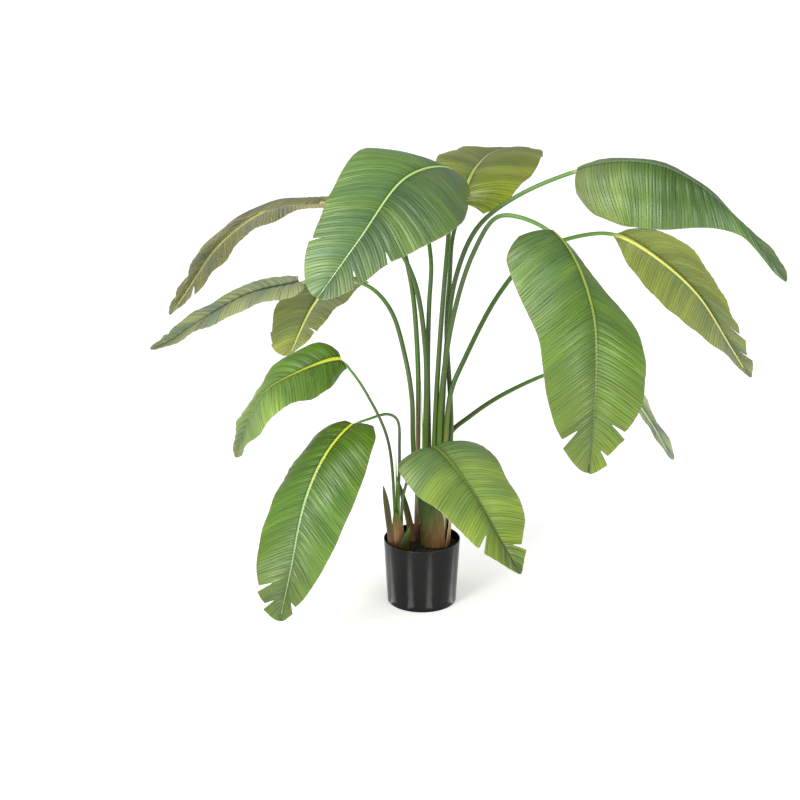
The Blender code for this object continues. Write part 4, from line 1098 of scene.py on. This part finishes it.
for item in skirt:
    if isinstance(item, bmesh.types.BMVert):
        item.co = (item.co.x * SKIRT_SHARE, item.co.y * SKIRT_SHARE, SKIRT_FOOT)
bmesh.ops.contextual_create(soil, geom=[item for item in skirt if isinstance(item, bmesh.types.BMEdge)])
bmesh.ops.recalc_face_normals(soil, faces=soil.faces)
print("soil bed", len(soil.faces), "faces")

# %% Crumbs on the soil
CRUMBS = 900
CRUMBS_OUT = 0.136         # they lie no farther out than this
PALE_SHARE = 0.10
draw = np.random.default_rng(41)
for k in range(CRUMBS):
    angle, out = draw.uniform(0, 2 * math.pi), CRUMBS_OUT * math.sqrt(draw.uniform())
    size = draw.uniform(0.0008, 0.0024)
    pale = draw.uniform() < PALE_SHARE
    if pale:
        size = draw.uniform(0.0008, 0.0015)
    spot = Matrix.Translation((out * math.cos(angle), out * math.sin(angle), SOIL_TOP + 0.0003))
    turned = Matrix.Rotation(draw.uniform(0, math.pi), 4, Vector(draw.normal(size=3)).normalized())
    stretch = Matrix.Diagonal((*draw.uniform(0.6, 1.3, 3), 1.0))
    made = bmesh.ops.create_icosphere(soil, subdivisions=1, radius=size, matrix=spot @ turned @ stretch)
    if pale:
        for face in {face for vert in made["verts"] for face in vert.link_faces}:
            face.material_index = 1
soil_mesh = finished(soil, "peat_bed", smooth=False)
settle("peat_bed", soil_mesh, (PEAT, GRIT), "soil", "soil")
print("with crumbs", len(soil_mesh.polygons), "faces")

# %% [markdown]
# ## Pot
# The nursery pot is injection moulded with a plain tapered wall, so it is a turned shape. A few profile
# points are enough: bevelling its corners rounds the rim and the foot, and one spin turns it.

# %% Pot
POT_HEIGHT = 0.258
POT_RIM_RADIUS = 0.148
POT_BASE_RADIUS = 0.1335
POT_WALL = 0.003
POT_FLOOR = 0.004
FOOT_BEVEL = 0.004
LIP_BEVEL = 0.0011
pot = bmesh.new()
inner_base = POT_BASE_RADIUS + (POT_RIM_RADIUS - POT_BASE_RADIUS) * POT_FLOOR / POT_HEIGHT - POT_WALL
profile = [(0.0, 0.0), (POT_BASE_RADIUS, 0.0), (POT_RIM_RADIUS, POT_HEIGHT), (POT_RIM_RADIUS - POT_WALL, POT_HEIGHT),
           (inner_base, POT_FLOOR), (0.0, POT_FLOOR)]
corners = [pot.verts.new((x, 0.0, z)) for x, z in profile]
for a, b in zip(corners, corners[1:]):
    pot.edges.new((a, b))
bmesh.ops.bevel(pot, geom=[corners[1]], offset=FOOT_BEVEL, offset_type="OFFSET", affect="VERTICES", segments=5,
                profile=0.5, material=-1)
rim = [v for v in pot.verts if abs(v.co.z - POT_HEIGHT) < 1e-6]
bmesh.ops.bevel(pot, geom=rim, offset=LIP_BEVEL, offset_type="OFFSET", affect="VERTICES", segments=4,
                profile=0.5, material=-1)
bmesh.ops.spin(pot, geom=pot.verts[:] + pot.edges[:], cent=(0, 0, 0), axis=(0, 0, 1), angle=2 * math.pi,
               steps=144, use_merge=True)
bmesh.ops.remove_doubles(pot, verts=pot.verts, dist=0.00001)
bmesh.ops.recalc_face_normals(pot, faces=pot.faces)
for face in pot.faces:
    if face.calc_center_median().z > POT_HEIGHT - LIP_BEVEL:
        face.material_index = 1
pot_mesh = finished(pot, "nursery_pot")
pot_mesh.set_sharp_from_angle(angle=math.radians(40))
settle("nursery_pot", pot_mesh, (POT_PLASTIC, POT_LIP), "pot", "pot")
print("pot", len(pot_mesh.polygons), "faces")

# %% [markdown]
# ## Floor and light
# A plain white floor runs out to the horizon. It glows very slightly, so that it stays white where the light
# falls off. A wide soft sun stands for the studio's overhead softbox, and one softbox on each side fills
# in from the front. The rest of the light is an even pale surround. The viewer looks down on the pot, so
# its wall mirrors the floor, and the bands on it come from four strips of light that lie there. A strip
# starts at the wall and runs out the way a mirrored ray goes: a wall that faces some angle away from the
# viewer sends the ray out at twice that angle. Each strip widens in three steps, as a band seen in a cone does.

# %% Floor and surround
WHITE = (1.0, 1.0, 1.0, 1.0)
floor_bm = bmesh.new()
bmesh.ops.create_grid(floor_bm, x_segments=1, y_segments=1, size=60.0)
floor = bpy.data.objects.new("floor", finished(floor_bm, "floor", smooth=False))
bpy.context.scene.collection.objects.link(floor)
matte, floor_tree, floor_shader = new_material("white_studio_floor")
connect(floor_tree, floor_shader, {"Base Color": (0.93, 0.93, 0.93, 1.0), "Roughness": 1.0, "Specular IOR Level": 0.0,
                                   "Emission Color": WHITE, "Emission Strength": 0.36})
floor.data.materials.append(matte)

world = bpy.data.worlds.new("studio")
world.use_nodes = True
connect(world.node_tree, world.node_tree.nodes["Background"], {"Color": WHITE, "Strength": 0.5})
bpy.context.scene.world = world
bpy.context.scene.view_settings.view_transform = "Standard"
print("floor glows with", floor_shader.inputs["Emission Strength"].default_value)


# %% Sun and softboxes
def put(light, place, turn):
    """A light object at a place, turned."""
    lamp = bpy.data.objects.new(light.name, light)
    lamp.location = place
    lamp.rotation_euler = turn
    bpy.context.scene.collection.objects.link(lamp)
    return lamp


def towards(place, target):
    """How a light turns to look from its place at a point."""
    return (Vector(target) - Vector(place)).to_track_quat("-Z", "Y").to_euler()


def panel(name, width, length, power):
    """A rectangle that shines from its whole face."""
    light = bpy.data.lights.new(name, "AREA")
    light.shape = "RECTANGLE"
    light.size, light.size_y = width, length
    light.energy = power
    return light


sun = bpy.data.lights.new("overhead", "SUN")
sun.energy = 1.75
sun.angle = math.radians(40)
sun_place = (-2.5, -2.0, 5.0)
put(sun, sun_place, towards(sun_place, (0.0, 0.0, 0.8)))
for side, place, power in (("left", (-3.2, -4.6, 2.3), 190), ("right", (3.4, -4.6, 1.8), 90)):
    softbox = panel("softbox_" + side, 1.6, 2.6, power)
    put(softbox, place, towards(place, (0.0, 0.0, 0.9))).visible_camera = False
print("sun of", sun.energy, "and two softboxes")

# %% Strips on the floor
STRIPS = ((-57, 7), (-19, 16), (12, 16), (57, 7))      # degrees that the wall faces away, and strength
STRIP_STEPS = ((0.02, 0.10, 0.035), (0.10, 0.27, 0.055), (0.27, 0.70, 0.09))      # start, end and width
STRIP_HEIGHT = 0.003
for facing, strength in STRIPS:
    wall_turn, strip_turn = math.radians(facing), math.radians(2 * facing)
    for start, end, width in STRIP_STEPS:
        strip = panel("floor_strip", width, end - start, strength * width * (end - start))
        out = (start + end) / 2
        x = POT_BASE_RADIUS * math.sin(wall_turn) + out * math.sin(strip_turn)
        y = -POT_BASE_RADIUS * math.cos(wall_turn) - out * math.cos(strip_turn)
        put(strip, (x, y, STRIP_HEIGHT), (math.pi, 0, strip_turn)).visible_camera = False
print(len(STRIPS), "strips of", len(STRIP_STEPS), "steps each")
